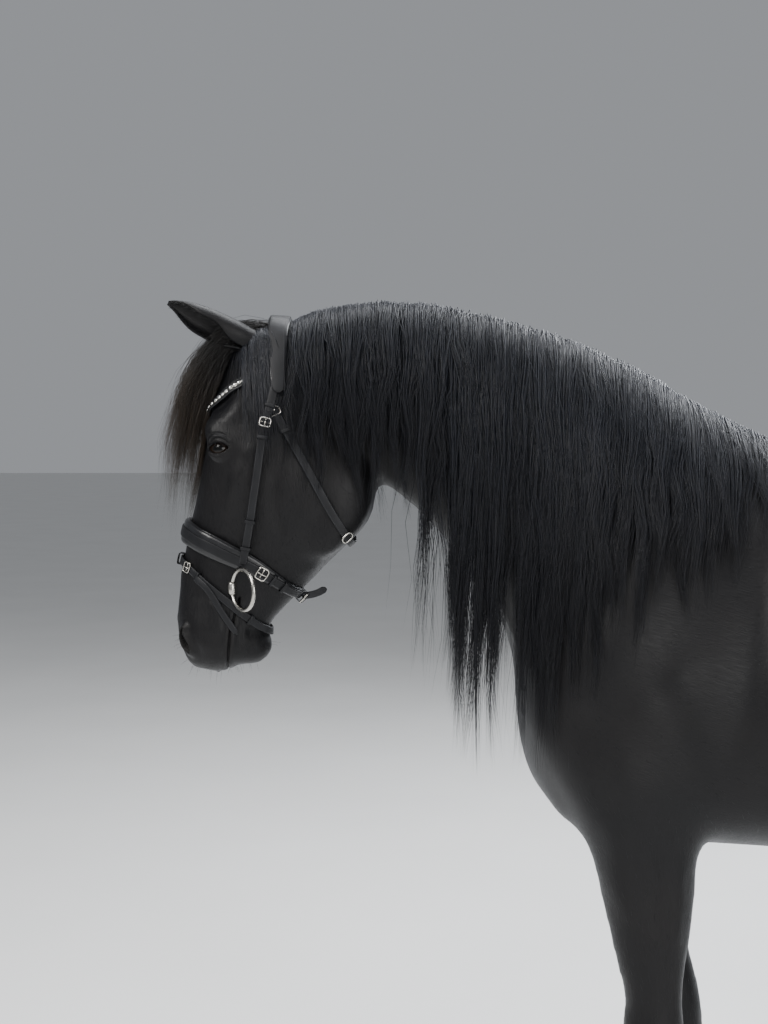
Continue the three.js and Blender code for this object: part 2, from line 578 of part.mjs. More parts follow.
// The bit: a loose ring each side, and the end of the mouthpiece between the lips
const ringPose = { place: [-702, 88, 1318], radius: 36, wire: 3.8, turn: 52 };
const bitEnd = { place: [-729, 50, 1318], radius: 8, length: 34 };
function bitRing(mirror, grow = 0) {
  const ring = new THREE.TorusGeometry(ringPose.radius, ringPose.wire + grow, 5, 18);
  ring.rotateX(Math.PI / 2).rotateZ(THREE.MathUtils.degToRad(ringPose.turn) * mirror);
  ring.translate(...mirrored(ringPose.place, mirror));
  const bar = new THREE.CylinderGeometry(bitEnd.radius + grow, bitEnd.radius + grow, bitEnd.length + 2 * grow, 8);
  bar.translate(bitEnd.place[0], mirror * (bitEnd.place[1]), bitEnd.place[2]);
  return solid(ring).add(solid(bar));
}

// The nodes
const nodes = new Map();
const bothSides = (make) => join(Object.values(sides).map(make));
const earsGrown = join(Object.values(sides).map((mirror) => ear(mirror, gap)));
const eyesGrown = join(Object.values(sides).map((mirror) => eye(mirror, gap)));
const neckRegion = aheadOf(neckCut);

let torso = trunkSolid.intersect(behind(neckCut));
for (const mirror of Object.values(sides)) {
  torso = torso.add(leg("fore", mirror).intersect(behind(legKinds.fore.cut)).intersect(behind(neckCut)));
  torso = torso.add(leg("hind", mirror).intersect(behind(legKinds.hind.cut)));
}
const torsoGrown = trunkGrown.intersect(behind(neckCut, 0));
const dockGrown = dock(gap);
nodes.set("torso", largest(torso.subtract(dockGrown)));

const headFlesh = headSolid
  .add(bothSides(nostrilRim))
  .add(bothSides(lids))
  .subtract(bothSides(nostril))
  .subtract(bothSides(eyeCut))
  .subtract(eyesGrown)
  .subtract(lipGroove())
  .subtract(bothSides((mirror) => bitRing(mirror, gap)));
nodes.set("head", largest(headFlesh.add(join(forelockLocks)).subtract(earsGrown)));

const neckFlesh = trunkSolid.intersect(neckRegion).subtract(headGrown);
const neckWithMane = neckFlesh
  .add(join(maneLocks))
  .subtract(torsoGrown)
  .subtract(headGrown)
  .subtract(earsGrown);
nodes.set("neck", largest(neckWithMane));

const tailCore = loft(tailCoreSections, { around: 8, spans: 4, caps: [12, 20] });
nodes.set("tail", largest(dock().add(tailCore).add(join(tailLocks)).subtract(trunkGrown)));

for (const [sideName, mirror] of Object.entries(sides)) {
  nodes.set(`ear_${sideName}`, largest(ear(mirror).subtract(headGrown).subtract(trunkGrown)));
  nodes.set(`eye_${sideName}`, eye(mirror));
  for (const kind of ["fore", "hind"]) {
    const hoofSolid = hoof(kind, mirror);
    const limb = leg(kind, mirror)
      .intersect(aheadOf(legKinds[kind].cut))
      .subtract(trunkGrown)
      .add(join(featherLocks(kind, mirror)))
      .subtract(hoof(kind, mirror, gap));
    nodes.set(`leg_${kind}_${sideName}`, largest(limb));
    nodes.set(`hoof_${kind}_${sideName}`, hoofSolid);
  }
}

const flankWave = (share) => Math.cos(share * 2 * Math.PI);
const straps = {
  crown: { start: -108, end: 108, steps: 14, width: (share) => 42 - 18 * (2 * share - 1) ** 2 },
  throatlatch: { start: 48, end: 312, steps: 16, width: () => 16 },
  browband: { start: -112, end: 112, steps: 16, width: () => 15, thick: () => 5 },
  noseband: { steps: 20, width: (share) => 32 + 12 * flankWave(share), thick: (share) => 6 + 3 * flankWave(share) },
  flash: { steps: 16, width: () => 15 },
};
const overHead = headGrown.add(trunkGrown);
for (const [name, shape] of Object.entries(straps)) {
  nodes.set(`bridle_${name}`, largest(strap(runs[name], shape).subtract(overHead)));
}
for (const [sideName, mirror] of Object.entries(sides)) {
  nodes.set(`bridle_cheek_${sideName}`, cheek(mirror));
  nodes.set(`bit_ring_${sideName}`, bitRing(mirror));
}

// Colours
const colours = {
  coat: { color: 0x0d0d10, roughness: 0.5, metalness: 0 },
  hoof: { color: 0x1b1917, roughness: 0.6, metalness: 0 },
  eye: { color: 0x120b08, roughness: 0.1, metalness: 0 },
  leather: { color: 0x111114, roughness: 0.4, metalness: 0 },
  steel: { color: 0xb8b8b8, roughness: 0.2, metalness: 1 },
};
const colourOf = (name) => {
  if (name.startsWith("hoof")) return colours.hoof;
  if (name.startsWith("eye")) return colours.eye;
  if (name.startsWith("bit") || name.startsWith("buckle")) return colours.steel;
  return name.startsWith("bridle") ? colours.leather : colours.coat;
};

const horse = new THREE.Group();
for (const [name, piece] of nodes) {
  const mesh = rayMesh(piece);
  mesh.name = name;
  mesh.material = new THREE.MeshStandardMaterial(colourOf(name));
  horse.add(mesh);
}
horse.position.x = -foreToMiddle;

export default horse;
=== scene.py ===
import math

import bmesh
import bpy
import numpy as np
from mathutils import Matrix, Vector
from mathutils.bvhtree import BVHTree


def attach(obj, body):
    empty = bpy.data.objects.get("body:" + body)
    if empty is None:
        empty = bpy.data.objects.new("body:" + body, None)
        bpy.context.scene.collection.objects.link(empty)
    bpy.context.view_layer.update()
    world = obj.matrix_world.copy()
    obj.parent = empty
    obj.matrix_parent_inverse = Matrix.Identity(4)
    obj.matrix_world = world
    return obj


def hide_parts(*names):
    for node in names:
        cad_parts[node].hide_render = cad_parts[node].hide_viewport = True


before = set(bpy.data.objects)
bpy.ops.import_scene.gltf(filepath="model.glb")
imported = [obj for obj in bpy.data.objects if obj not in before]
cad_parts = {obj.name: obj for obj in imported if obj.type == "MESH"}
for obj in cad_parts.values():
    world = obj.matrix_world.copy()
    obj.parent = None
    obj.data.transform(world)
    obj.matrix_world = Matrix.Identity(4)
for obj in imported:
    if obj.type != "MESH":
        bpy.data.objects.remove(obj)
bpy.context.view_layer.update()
print("frame loaded:", len(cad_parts), "nodes")

# Shapes are worked out in mm from the ground between the forelegs: nose towards -x, left side at -y.
# addPiece() moves each finished mesh into the frame.
foreToMiddle = 317
tableToFrame = Matrix.Translation((-foreToMiddle / 1000, 0, 0)) @ Matrix.Scale(0.001, 4)
sides = {"left": -1, "right": 1}
rand = np.random.default_rng(11)


def mirrored(point, side):
    return Vector((point[0], point[1] * side, point[2]))


def unit(vectors):
    length = np.linalg.norm(vectors, axis=-1, keepdims=True)
    return vectors / np.maximum(length, 1e-9)


def smooth(value, low, high):
    share = np.clip((value - low) / (high - low), 0, 1)
    return share * share * (3 - 2 * share)


def splineAt(rows, t):  # a Catmull-Rom line through the rows of a table, t from 0 to 1
    rows = np.asarray(rows, float)
    t = np.clip(np.atleast_1d(np.asarray(t, float)), 0, 1) * (len(rows) - 1)
    i = np.minimum(t.astype(int), len(rows) - 2)
    w = (t - i)[:, None]
    padded = np.vstack([2 * rows[0] - rows[1], rows, 2 * rows[-1] - rows[-2]])
    a, b, c, d = (padded[i + k] for k in range(4))
    startPull, endPull = 0.5 * (c - a), 0.5 * (d - b)
    cubic = 2 * b - 2 * c + startPull + endPull
    square = 3 * c - 3 * b - 2 * startPull - endPull
    return b + w * (startPull + w * (square + w * cubic))


def walked(points):  # how far each point is from the first one, along the line
    return np.concatenate([[0], np.linalg.norm(np.diff(points, axis=0), axis=1).cumsum()])


def evenly(rows, count):  # points at even distances along the spline through the rows
    fine = splineAt(rows, np.linspace(0, 1, 30 * len(rows)))
    lengths = walked(fine)
    want = np.linspace(0, lengths[-1], count)
    return np.stack([np.interp(want, lengths, fine[:, k]) for k in range(fine.shape[1])], 1)


def squared(wave, power):  # a sine or cosine that makes a rounder or squarer section
    return np.sign(wave) * np.abs(wave) ** power


def coordinates(mesh):
    flat = np.empty(len(mesh.vertices) * 3)
    mesh.vertices.foreach_get("co", flat)
    return flat.reshape(-1, 3)


def setCoordinates(mesh, points):
    mesh.vertices.foreach_set("co", points.ravel())
    mesh.update()


def normalsOf(mesh):
    flat = np.empty(len(mesh.vertices) * 3, np.float32)
    mesh.vertex_normals.foreach_get("vector", flat)
    return flat.reshape(-1, 3).astype(float)


def edgesOf(mesh):
    flat = np.empty(len(mesh.edges) * 2, np.int32)
    mesh.edges.foreach_get("vertices", flat)
    return flat.reshape(-1, 2)


def relax(points, edges, weight, rounds):
    size = len(points)
    around = np.maximum(np.bincount(edges.ravel(), minlength=size), 1)
    for _ in range(rounds):
        for k in range(3):
            total = np.bincount(edges[:, 0], points[edges[:, 1], k], size)
            total += np.bincount(edges[:, 1], points[edges[:, 0], k], size)
            points[:, k] += weight * (total / around - points[:, k])
    return points


# Body: from and to are the topline and the underline in the side view
# Columns: from x z, to x z, half width, where it is widest, roundness above and below, side
trunkRows = [
    (1322, 1392, 1350, 1130, 80, 0.5, 2, 2),
    (1245, 1466, 1322, 1020, 180, 0.55, 2, 2),
    (1110, 1530, 1190, 968, 252, 0.56, 2, 2),
    (950, 1572, 990, 950, 280, 0.58, 2.1, 2),
    (780, 1556, 790, 908, 280, 0.54, 2.2, 2),
    (600, 1522, 590, 858, 294, 0.48, 2.2, 2),
    (430, 1522, 390, 840, 294, 0.46, 2.1, 2),
    (300, 1558, 205, 848, 274, 0.44, 1.8, 2),
    (215, 1590, 45, 858, 250, 0.42, 1.6, 2),
    (145, 1622, -100, 888, 238, 0.4, 1.5, 2.1),
    (70, 1664, -186, 965, 225, 0.38, 1.45, 2.2),
    (-5, 1707, -211, 1075, 196, 0.38, 1.45, 2.2),
    (-90, 1744, -219, 1178, 158, 0.4, 1.5, 2),
    (-180, 1777, -252, 1270, 130, 0.42, 1.55, 2),
    (-280, 1803, -308, 1355, 110, 0.44, 1.6, 2),
    (-380, 1820, -372, 1432, 97, 0.48, 1.7, 2),
    (-480, 1822, -440, 1492, 90, 0.5, 1.8, 2),
    (-570, 1808, -505, 1530, 84, 0.52, 2, 2),
    (-640, 1778, -570, 1560, 70, 0.52, 2, 2),
]
headRows = [
    (-682, 1782, -560, 1735, 66, 0.5, 2.2, 2),
    (-722, 1738, -508, 1640, 84, 0.5, 2.4, 2),
    (-748, 1688, -482, 1550, 98, 0.55, 2.5, 2),
    (-764, 1632, -470, 1484, 108, 0.62, 2.6, 2.2),
    (-772, 1575, -482, 1434, 109, 0.66, 2.6, 2.3),
    (-783, 1520, -520, 1392, 97, 0.64, 2.4, 2.3),
    (-797, 1462, -562, 1350, 80, 0.6, 2.3, 2.2),
    (-811, 1405, -602, 1308, 66, 0.56, 2.2, 2),
    (-822, 1350, -638, 1272, 57, 0.54, 2, 2),
    (-829, 1300, -662, 1244, 55, 0.52, 2, 2),
    (-832, 1254, -670, 1229, 58, 0.56, 2, 2),
    (-827, 1216, -664, 1212, 57, 0.58, 2, 2.2),
    (-810, 1182, -680, 1190, 45, 0.58, 2, 2.2),
]
# Columns: height, x, half length, half width, side
foreRows = [
    (1210, -30, 60, 45, 145),
    (1100, -45, 112, 80, 147),
    (1000, -34, 126, 88, 141),
    (920, -12, 112, 75, 131),
    (850, -2, 93, 64, 125),
    (760, 7, 78, 55, 123),
    (665, 13, 61, 45, 121),
    (605, 18, 51, 41, 119),
    (550, 19, 55, 46, 118),
    (500, 21, 57, 48, 118),
    (455, 25, 49, 44, 117),
    (405, 30, 38, 33, 116),
    (330, 31, 34, 26, 115),
    (268, 33, 39, 32, 115),
    (232, 29, 45, 38, 115),
    (180, 12, 36, 34, 115),
    (135, -7, 43, 43, 115),
    (102, -22, 54, 52, 115),
    (62, -24, 48, 44, 115),
]
hindRows = [
    (1400, 1090, 110, 40, 150),
    (1320, 1112, 185, 92, 152),
    (1220, 1130, 216, 108, 154),
    (1110, 1124, 212, 114, 150),
    (1000, 1108, 182, 98, 145),
    (900, 1135, 136, 78, 138),
    (810, 1178, 99, 62, 132),
    (730, 1222, 72, 47, 128),
    (665, 1248, 67, 40, 126),
    (610, 1256, 68, 44, 125),
    (555, 1262, 60, 47, 124),
    (500, 1269, 47, 40, 123),
    (430, 1275, 38, 30, 122),
    (340, 1277, 35, 28, 122),
    (275, 1277, 41, 33, 122),
    (238, 1274, 46, 39, 122),
    (188, 1257, 37, 35, 122),
    (138, 1236, 43, 43, 122),
    (102, 1221, 54, 52, 122),
    (62, 1219, 48, 44, 122),
]
dockRows = [
    (1248, 1478, 1290, 1400, 40, 0.5, 2, 2),
    (1305, 1462, 1330, 1385, 38, 0.5, 2, 2),
    (1362, 1418, 1342, 1340, 33, 0.5, 2, 2),
    (1398, 1340, 1350, 1280, 28, 0.5, 2, 2),
    (1412, 1240, 1366, 1200, 22, 0.5, 2, 2),
]
legKinds = {
    "fore": {"rows": foreRows, "lean": {-1: 0, 1: 0.15}, "hoofX": -22, "hoofY": 115},
    "hind": {"rows": hindRows, "lean": {-1: 0.02, 1: -0.08}, "hoofX": 1221, "hoofY": 122},
}


legTop, hoofTop = 1050, 100  # a leg leans between these heights


def slideOf(kind, side, z):  # how far back a leg stands at a height
    lean = legKinds[kind]["lean"][side]
    return lean * np.maximum(0, legTop - np.maximum(z, hoofTop))


def legTable(kind, side):
    table = []
    for z, x, halfLength, half, offset in legKinds[kind]["rows"]:
        x += float(slideOf(kind, side, z))
        table.append((x - halfLength, z, x + halfLength, z, half, 0.5, 2, 2, offset * side))
    return table


def sectionsAt(table, t):
    rows = splineAt(table, t)
    start = np.stack([rows[:, 0], 0 * rows[:, 0], rows[:, 1]], 1)
    end = np.stack([rows[:, 2], 0 * rows[:, 0], rows[:, 3]], 1)
    if rows.shape[1] > 8:
        start[:, 1] = end[:, 1] = rows[:, 8]
    centre = end + (start - end) * rows[:, 5:6]
    return rows, start, end, centre


def meshFrom(bm, name="piece"):
    mesh = bpy.data.meshes.new(name)
    bm.to_mesh(mesh)
    bm.free()
    return mesh


capRows = 6  # rings of points that round off each end of a loft


def loft(table, around, spans, caps):
    last = spans + 2 * capRows
    bm = bmesh.new()
    bmesh.ops.create_uvsphere(bm, u_segments=around, v_segments=last, radius=1)
    ball = np.array([v.co for v in bm.verts])
    turn = np.arctan2(ball[:, 1], ball[:, 0])
    row = np.rint(np.arccos(np.clip(ball[:, 2], -1, 1)) / math.pi * last)
    rows, start, end, centre = sectionsAt(table, (row - capRows) / spans)
    inward = np.minimum(row, last - row)
    capTurn = np.clip(inward / capRows, 0, 1) * math.pi / 2
    ends = sectionsAt(table, [0, 1 / spans, 1 - 1 / spans, 1])[3]
    pushes = unit(np.array([ends[0] - ends[1], ends[3] - ends[2]])) * np.array(caps)[:, None]
    push = np.where((row < last / 2)[:, None], pushes[0], pushes[1]) * np.cos(capTurn)[:, None]
    axis = start - end
    length = np.linalg.norm(axis, axis=1)
    axis = unit(axis)
    up = np.sin(turn) > 0
    power = 2 / np.where(up, rows[:, 6], rows[:, 7])
    reach = np.where(up, 1 - rows[:, 5], rows[:, 5]) * length * np.sin(capTurn)
    points = centre + push + axis * (reach * squared(np.sin(turn), power))[:, None]
    points[:, 1] += rows[:, 4] * np.sin(capTurn) * squared(np.cos(turn), power)
    for vertex, point in zip(bm.verts, points):
        vertex.co = point
    bmesh.ops.recalc_face_normals(bm, faces=bm.faces)
    return meshFrom(bm, "loft")


def blob(place, radii, tilt=0):
    bm = bmesh.new()
    turned = Matrix.Translation(place) @ Matrix.Rotation(math.radians(tilt), 4, "Y")
    matrix = turned @ Matrix.Diagonal((*radii, 1))
    bmesh.ops.create_uvsphere(bm, u_segments=28, v_segments=18, radius=1, matrix=matrix)
    return meshFrom(bm, "blob")


# Muscle and bone that the lofts leave out: place, radii and tilt in the side view
formBlobs = [
    ((-698, 0, 1207), (44, 35, 38), 0),  # chin
    ((-788, 0, 1202), (33, 41, 40), 0),  # upper lip
    ((-756, 0, 1196), (36, 40, 41), 0),
    ((-806, 30, 1232), (20, 20, 32), 14),  # nostril rim
    ((-722, 72, 1594), (52, 34, 44), 20),  # brow over the eye
    ((-566, 58, 1480), (92, 44, 112), 22),  # cheek
    ((-132, 116, 1088), (70, 74, 88), 0),  # point of the shoulder
    ((-30, 150, 1130), (130, 82, 130), 0),  # triceps
    ((-112, 76, 985), (62, 66, 90), 0),  # breast
    ((62, 132, 985), (44, 44, 56), 0),  # elbow
    ((-28, 146, 880), (62, 40, 118), 0),  # forearm
    ((990, 150, 1060), (92, 86, 118), 0),  # stifle
    ((1240, 118, 1150), (96, 84, 170), 12),  # buttock
    ((1120, 120, 1340), (170, 130, 130), 0),  # rump
    ((1313, 126, 630), (25, 24, 52), 8),  # point of the hock
]


def joined(meshes):
    bm = bmesh.new()
    for mesh in meshes:
        bm.from_mesh(mesh)
        bpy.data.meshes.remove(mesh)
    return meshFrom(bm, "joined")


# Seams: where legs and muscles run into the trunk, the surface is drawn smoother. Place and reach
skinSizes = {
    "voxel": 10.8,
    "firstRounds": 7,
    "seamRounds": 26,
    "seams": [((0, 1060), 300), ((1120, 1180), 330), ((-620, 1640), 150), ((-230, 1100), 200)],
    "refineRounds": 3,
}


def bodyMesh():
    made = [loft(trunkRows, 72, 130, (22, 30)), loft(headRows, 72, 90, (22, 16))]
    made.append(loft(dockRows, 28, 30, (12, 20)))
    for side in sides.values():
        for kind in legKinds:
            made.append(loft(legTable(kind, side), 44, 120, (10, 4)))
        for (x, y, z), radii, tilt in formBlobs:
            if y or side > 0:
                if z < legTop:
                    x += float(slideOf("fore" if x < foreToMiddle else "hind", side, z))
                made.append(blob((x, y * side, z), radii, tilt))
    rough = bpy.data.objects.new("rough", joined(made))
    bpy.context.scene.collection.objects.link(rough)
    remesh = rough.modifiers.new("remesh", "REMESH")
    remesh.mode = "VOXEL"
    remesh.voxel_size = skinSizes["voxel"]
    remesh.use_smooth_shade = True
    evaluated = rough.evaluated_get(bpy.context.evaluated_depsgraph_get())
    mesh = bpy.data.meshes.new_from_object(evaluated)
    bpy.data.objects.remove(rough)
    points, edges = coordinates(mesh), edgesOf(mesh)
    points = relax(points, edges, 0.5, skinSizes["firstRounds"])
    seams = np.zeros(len(points))
    for (x, z), reach in skinSizes["seams"]:
        away = np.hypot(points[:, 0] - x, points[:, 2] - z)
        seams = np.maximum(seams, 1 - smooth(away, reach * 0.6, reach))
    points = relax(points, edges, 0.5 * seams, skinSizes["seamRounds"])
    setCoordinates(mesh, points)
    return mesh


def refine(mesh, inside):  # halves the faces whose corners are all inside, then rounds them off
    bm = bmesh.new()
    bm.from_mesh(mesh)
    flags = bm.verts.layers.int.new("refined")
    for vertex, flag in zip(bm.verts, inside(coordinates(mesh))):
        vertex[flags] = int(flag)
    edges = [e for e in bm.edges if e.verts[0][flags] and e.verts[1][flags]]
    bmesh.ops.subdivide_edges(bm, edges=edges, cuts=1, use_grid_fill=True)
    chosen = np.array([float(v[flags]) for v in bm.verts])
    bm.verts.layers.int.remove(flags)
    bm.to_mesh(mesh)
    bm.free()
    points, edges = coordinates(mesh), edgesOf(mesh)
    halves = np.bincount(edges.ravel(), np.repeat(chosen[edges].min(1), 2), len(points)) > 0
    points = relax(points, edges, 0.5 * (halves | (chosen > 0)), skinSizes["refineRounds"])
    setCoordinates(mesh, points)


def onTheFace(points):
    x, z = points[:, 0], points[:, 2]
    return (x < -560 + 0.35 * (1500 - z)) & (x < -455) & (z < 1790)


skinMesh = bodyMesh()
print("skin before the head:", len(skinMesh.polygons), "faces")
refine(skinMesh, onTheFace)


class Surface:  # rays and nearest points on a mesh
    def __init__(self, mesh):
        self.tree = BVHTree.FromPolygons([v.co for v in mesh.vertices], [p.vertices for p in mesh.polygons])

    def side(self, x, z, side):  # the outermost point at a place of the side view
        return self.away((x, 1000 * side, z), (0, -side, 0))

    def away(self, origin, direction):
        place, normal, _, _ = self.tree.ray_cast(Vector(origin), Vector(direction))
        return place, normal


# Bumps and creases: each follows a line of the side view over the skin, on both sides
def onBothSides(surface, line, kind, samples):
    for side in sides.values():
        found = []
        for x, z in evenly(line, samples):
            if kind:
                x += float(slideOf(kind, side, z))
            place, _ = surface.side(x, z, side)
            if place:
                found.append(place)
        if found:
            yield np.array(found)


def press(points, normals, line, width, height, sharp=2.0, taper=0.25):
    low, high = line.min(0) - 3 * width, line.max(0) + 3 * width
    near = np.flatnonzero(((points > low) & (points < high)).all(1))
    if not len(near):
        return
    gaps = np.linalg.norm(points[near][:, None] - line[None], axis=2)
    nearest = gaps.argmin(1)
    share = nearest / max(1, len(line) - 1)
    fade = smooth(np.minimum(share, 1 - share), -0.02, taper) if len(line) > 1 else 1
    strength = np.exp(-((gaps.min(1) / width) ** sharp)) * height * fade
    points[near] += normals[near] * strength[:, None]


def sculpt(mesh, marks):
    points, normals, surface = coordinates(mesh), normalsOf(mesh), Surface(mesh)
    for rough, width, height, *rest in marks:
        shape = dict(*rest)
        kind = shape.pop("leg", None)
        length = np.linalg.norm(np.diff(rough, axis=0), axis=1).sum()
        for line in onBothSides(surface, np.array(rough, float), kind, max(48, int(2.5 * length / width))):
            press(points, normals, line, width, height, **shape)
    setCoordinates(mesh, points)


# Line in the side view, width, height, and sometimes its taper or the kind of leg that it follows
bodyMarks = [
    ([(150, 1540), (20, 1360), (-110, 1180)], 56, 8),  # shoulder blade
    ([(120, 1600), (-40, 1420), (-168, 1200)], 34, -6),  # between neck and shoulder
    ([(180, 1420), (150, 1220), (100, 1010)], 36, -8),  # behind the shoulder
    ([(-330, 1405), (-262, 1290), (-214, 1140)], 20, -8),  # jugular groove
    ([(-300, 1385), (-240, 1275), (-204, 1180)], 12, 4),
    ([(-130, 1150), (-90, 1040), (-80, 930)], 20, -5),  # between breast and arm
    ([(-20, 1210), (30, 1110), (70, 1000)], 24, -4),  # across the triceps
    ([(-70, 960), (-56, 860), (-30, 740)], 22, 6, {"leg": "fore"}),
    ([(-6, 930), (6, 820), (16, 700)], 9, -4, {"leg": "fore"}),
    ([(46, 880), (46, 780), (40, 690)], 14, 4, {"leg": "fore"}),
    ([(22, 560), (22, 520), (24, 480)], 22, 4, {"leg": "fore"}),
    ([(36, 430), (40, 360), (42, 290)], 5, -4, {"leg": "fore"}),
    ([(52, 430), (56, 360), (58, 290)], 5, 2, {"leg": "fore"}),
    ([(925, 1452), (882, 1424), (862, 1390)], 66, 6, {"taper": 0.5}),  # point of the hip
    ([(840, 1350), (890, 1220), (920, 1120)], 64, -9),  # flank
    ([(300, 1180), (450, 1200), (620, 1190)], 120, 3),
    ([(-20, 1610), (60, 1540), (130, 1440)], 40, 5),  # ridge of the shoulder blade
    ([(60, 1240), (10, 1160), (-60, 1090)], 30, 4),  # long head of the triceps
    ([(700, 1470), (860, 1490), (1060, 1480)], 60, 3, {"taper": 0.5}),  # loin
    ([(1000, 1300), (1080, 1180), (1110, 1060)], 50, 6),  # front of the thigh
    ([(1226, 1420), (1214, 1240), (1170, 1010)], 24, -6),  # buttock groove
    ([(1140, 1400), (1080, 1240), (1030, 1120)], 30, -4),
    ([(1120, 940), (1180, 820), (1214, 760)], 24, 6, {"leg": "hind"}),
    ([(1226, 800), (1256, 730), (1280, 668)], 11, -8, {"leg": "hind"}),
    ([(1240, 660), (1252, 610), (1262, 560)], 15, 4, {"leg": "hind"}),
    ([(1282, 480), (1286, 400), (1288, 320)], 5, -4, {"leg": "hind"}),
    ([(1300, 480), (1302, 400), (1304, 320)], 5, 2, {"leg": "hind"}),
]
headMarks = [
    ([(-684, 1566), (-712, 1508), (-730, 1436)], 11, 5.5, {"taper": 0.5}),  # facial crest
    ([(-640, 1606), (-672, 1570), (-706, 1550)], 17, 3),  # cheekbone
    ([(-640, 1540), (-646, 1470), (-628, 1395)], 12, -5),  # front edge of the cheek
    ([(-515, 1440), (-560, 1380), (-610, 1330)], 18, 4),  # edge of the jaw
    ([(-545, 1480), (-585, 1420), (-628, 1366)], 20, -4),
    ([(-700, 1668), (-716, 1628), (-748, 1604)], 15, 6, {"taper": 0.45}),  # rim of the brow
    ([(-748, 1652), (-738, 1636), (-730, 1630)], 22, -5, {"taper": 0.5}),  # hollow over the eye
    ([(-800, 1500), (-812, 1400), (-820, 1300)], 13, 2.2, {"taper": 0.6}),  # edge of the nose bone
    ([(-784, 1450), (-790, 1370), (-798, 1290)], 14, -4, {"taper": 0.5}),
    ([(-744, 1420), (-740, 1370), (-736, 1330)], 20, -3),
    ([(-660, 1242), (-680, 1238), (-704, 1236)], 10, -4),  # chin groove
    ([(-744, 1300), (-752, 1262), (-760, 1226)], 20, 3),  # cushion of the upper lip
]
fineMarks = [
    ([(-762, 1530), (-751, 1496), (-741, 1460), (-734, 1428)], 3.2, 1.7),  # veins
    ([(-752, 1500), (-768, 1468), (-776, 1430)], 2.8, 1.3),
    ([(-700, 1540), (-690, 1500), (-668, 1462)], 2.4, 2.2),
    ([(-742, 1440), (-716, 1412), (-700, 1380)], 2.6, 2.0),
    ([(-768, 1300), (-752, 1270), (-744, 1236)], 3.0, 1.6),
    ([(-780, 1300), (-790, 1270), (-792, 1250)], 3.0, 1.8),
]
sculpt(skinMesh, bodyMarks + headMarks)

# Eyes, nostrils and mouth
eyeShape = {
    "place": (-737, 75, 1565),
    "front": (-737, 92, 1565),
    "radius": 22,
    "cornea": (1.4, 13),  # how far it bulges, and its radius
    "long": 21,
    "up": 10.5,
    "down": 8.5,
    "corners": 2.3,
    "lid": 3.6,
    "reach": 62,
    # Folds of the upper and lower lid: height, distance from the edge, width
    "upperFolds": [(-2.4, 6.5, 1.4), (1.8, 11, 3.2), (-1.6, 15.5, 1.6)],
    "lowerFolds": [(-1.4, 5.5, 1.3)],
}
nostrilShape = {
    "place": (-813, 37, 1222),
    "long": 18,
    "wide": 9.5,
    "slit": 3.0,
    "deep": 24,
    "rim": 4.2,
    "reach": 48,
}
mouthLine = [(-711, 1300), (-719, 1272), (-728, 1240), (-732, 1205), (-735, 1182)]


def flipped(points):  # with both sides laid over each other
    return points * [1, 0, 1] + [0, 1, 0] * np.abs(points)


def nearEye(points, reach):
    return np.linalg.norm(flipped(points) - eyeShape["front"], axis=1) < reach


def nearNostril(points, reach):
    return np.linalg.norm(flipped(points) - nostrilShape["place"], axis=1) < reach


def nearMouth(points, reach):
    line = evenly(mouthLine + [(-736, 1150)], 30)
    low = np.flatnonzero(points[:, 2] < 1330)
    near = np.zeros(len(points), bool)
    near[low] = np.linalg.norm(points[low][:, None, [0, 2]] - line[None], axis=2).min(1) < reach
    return near


def axesOf(outward, along, side):  # along, across and outward, for the side where y has this sign
    outward = unit(np.array(outward, float) * [1, side, 1])
    along = np.array(along, float) * [1, side, 1]
    along = unit(along - outward * (along @ outward))
    across = np.cross(outward, along)
    return np.stack([along, across if side < 0 else -across, outward], 1)


def eyeAxes(side):
    axes = axesOf((-0.24, 0.97, 0.04), (1, 0, 0.07), side)
    if axes[2, 1] < 0:
        axes[:, 1] *= -1
    return axes


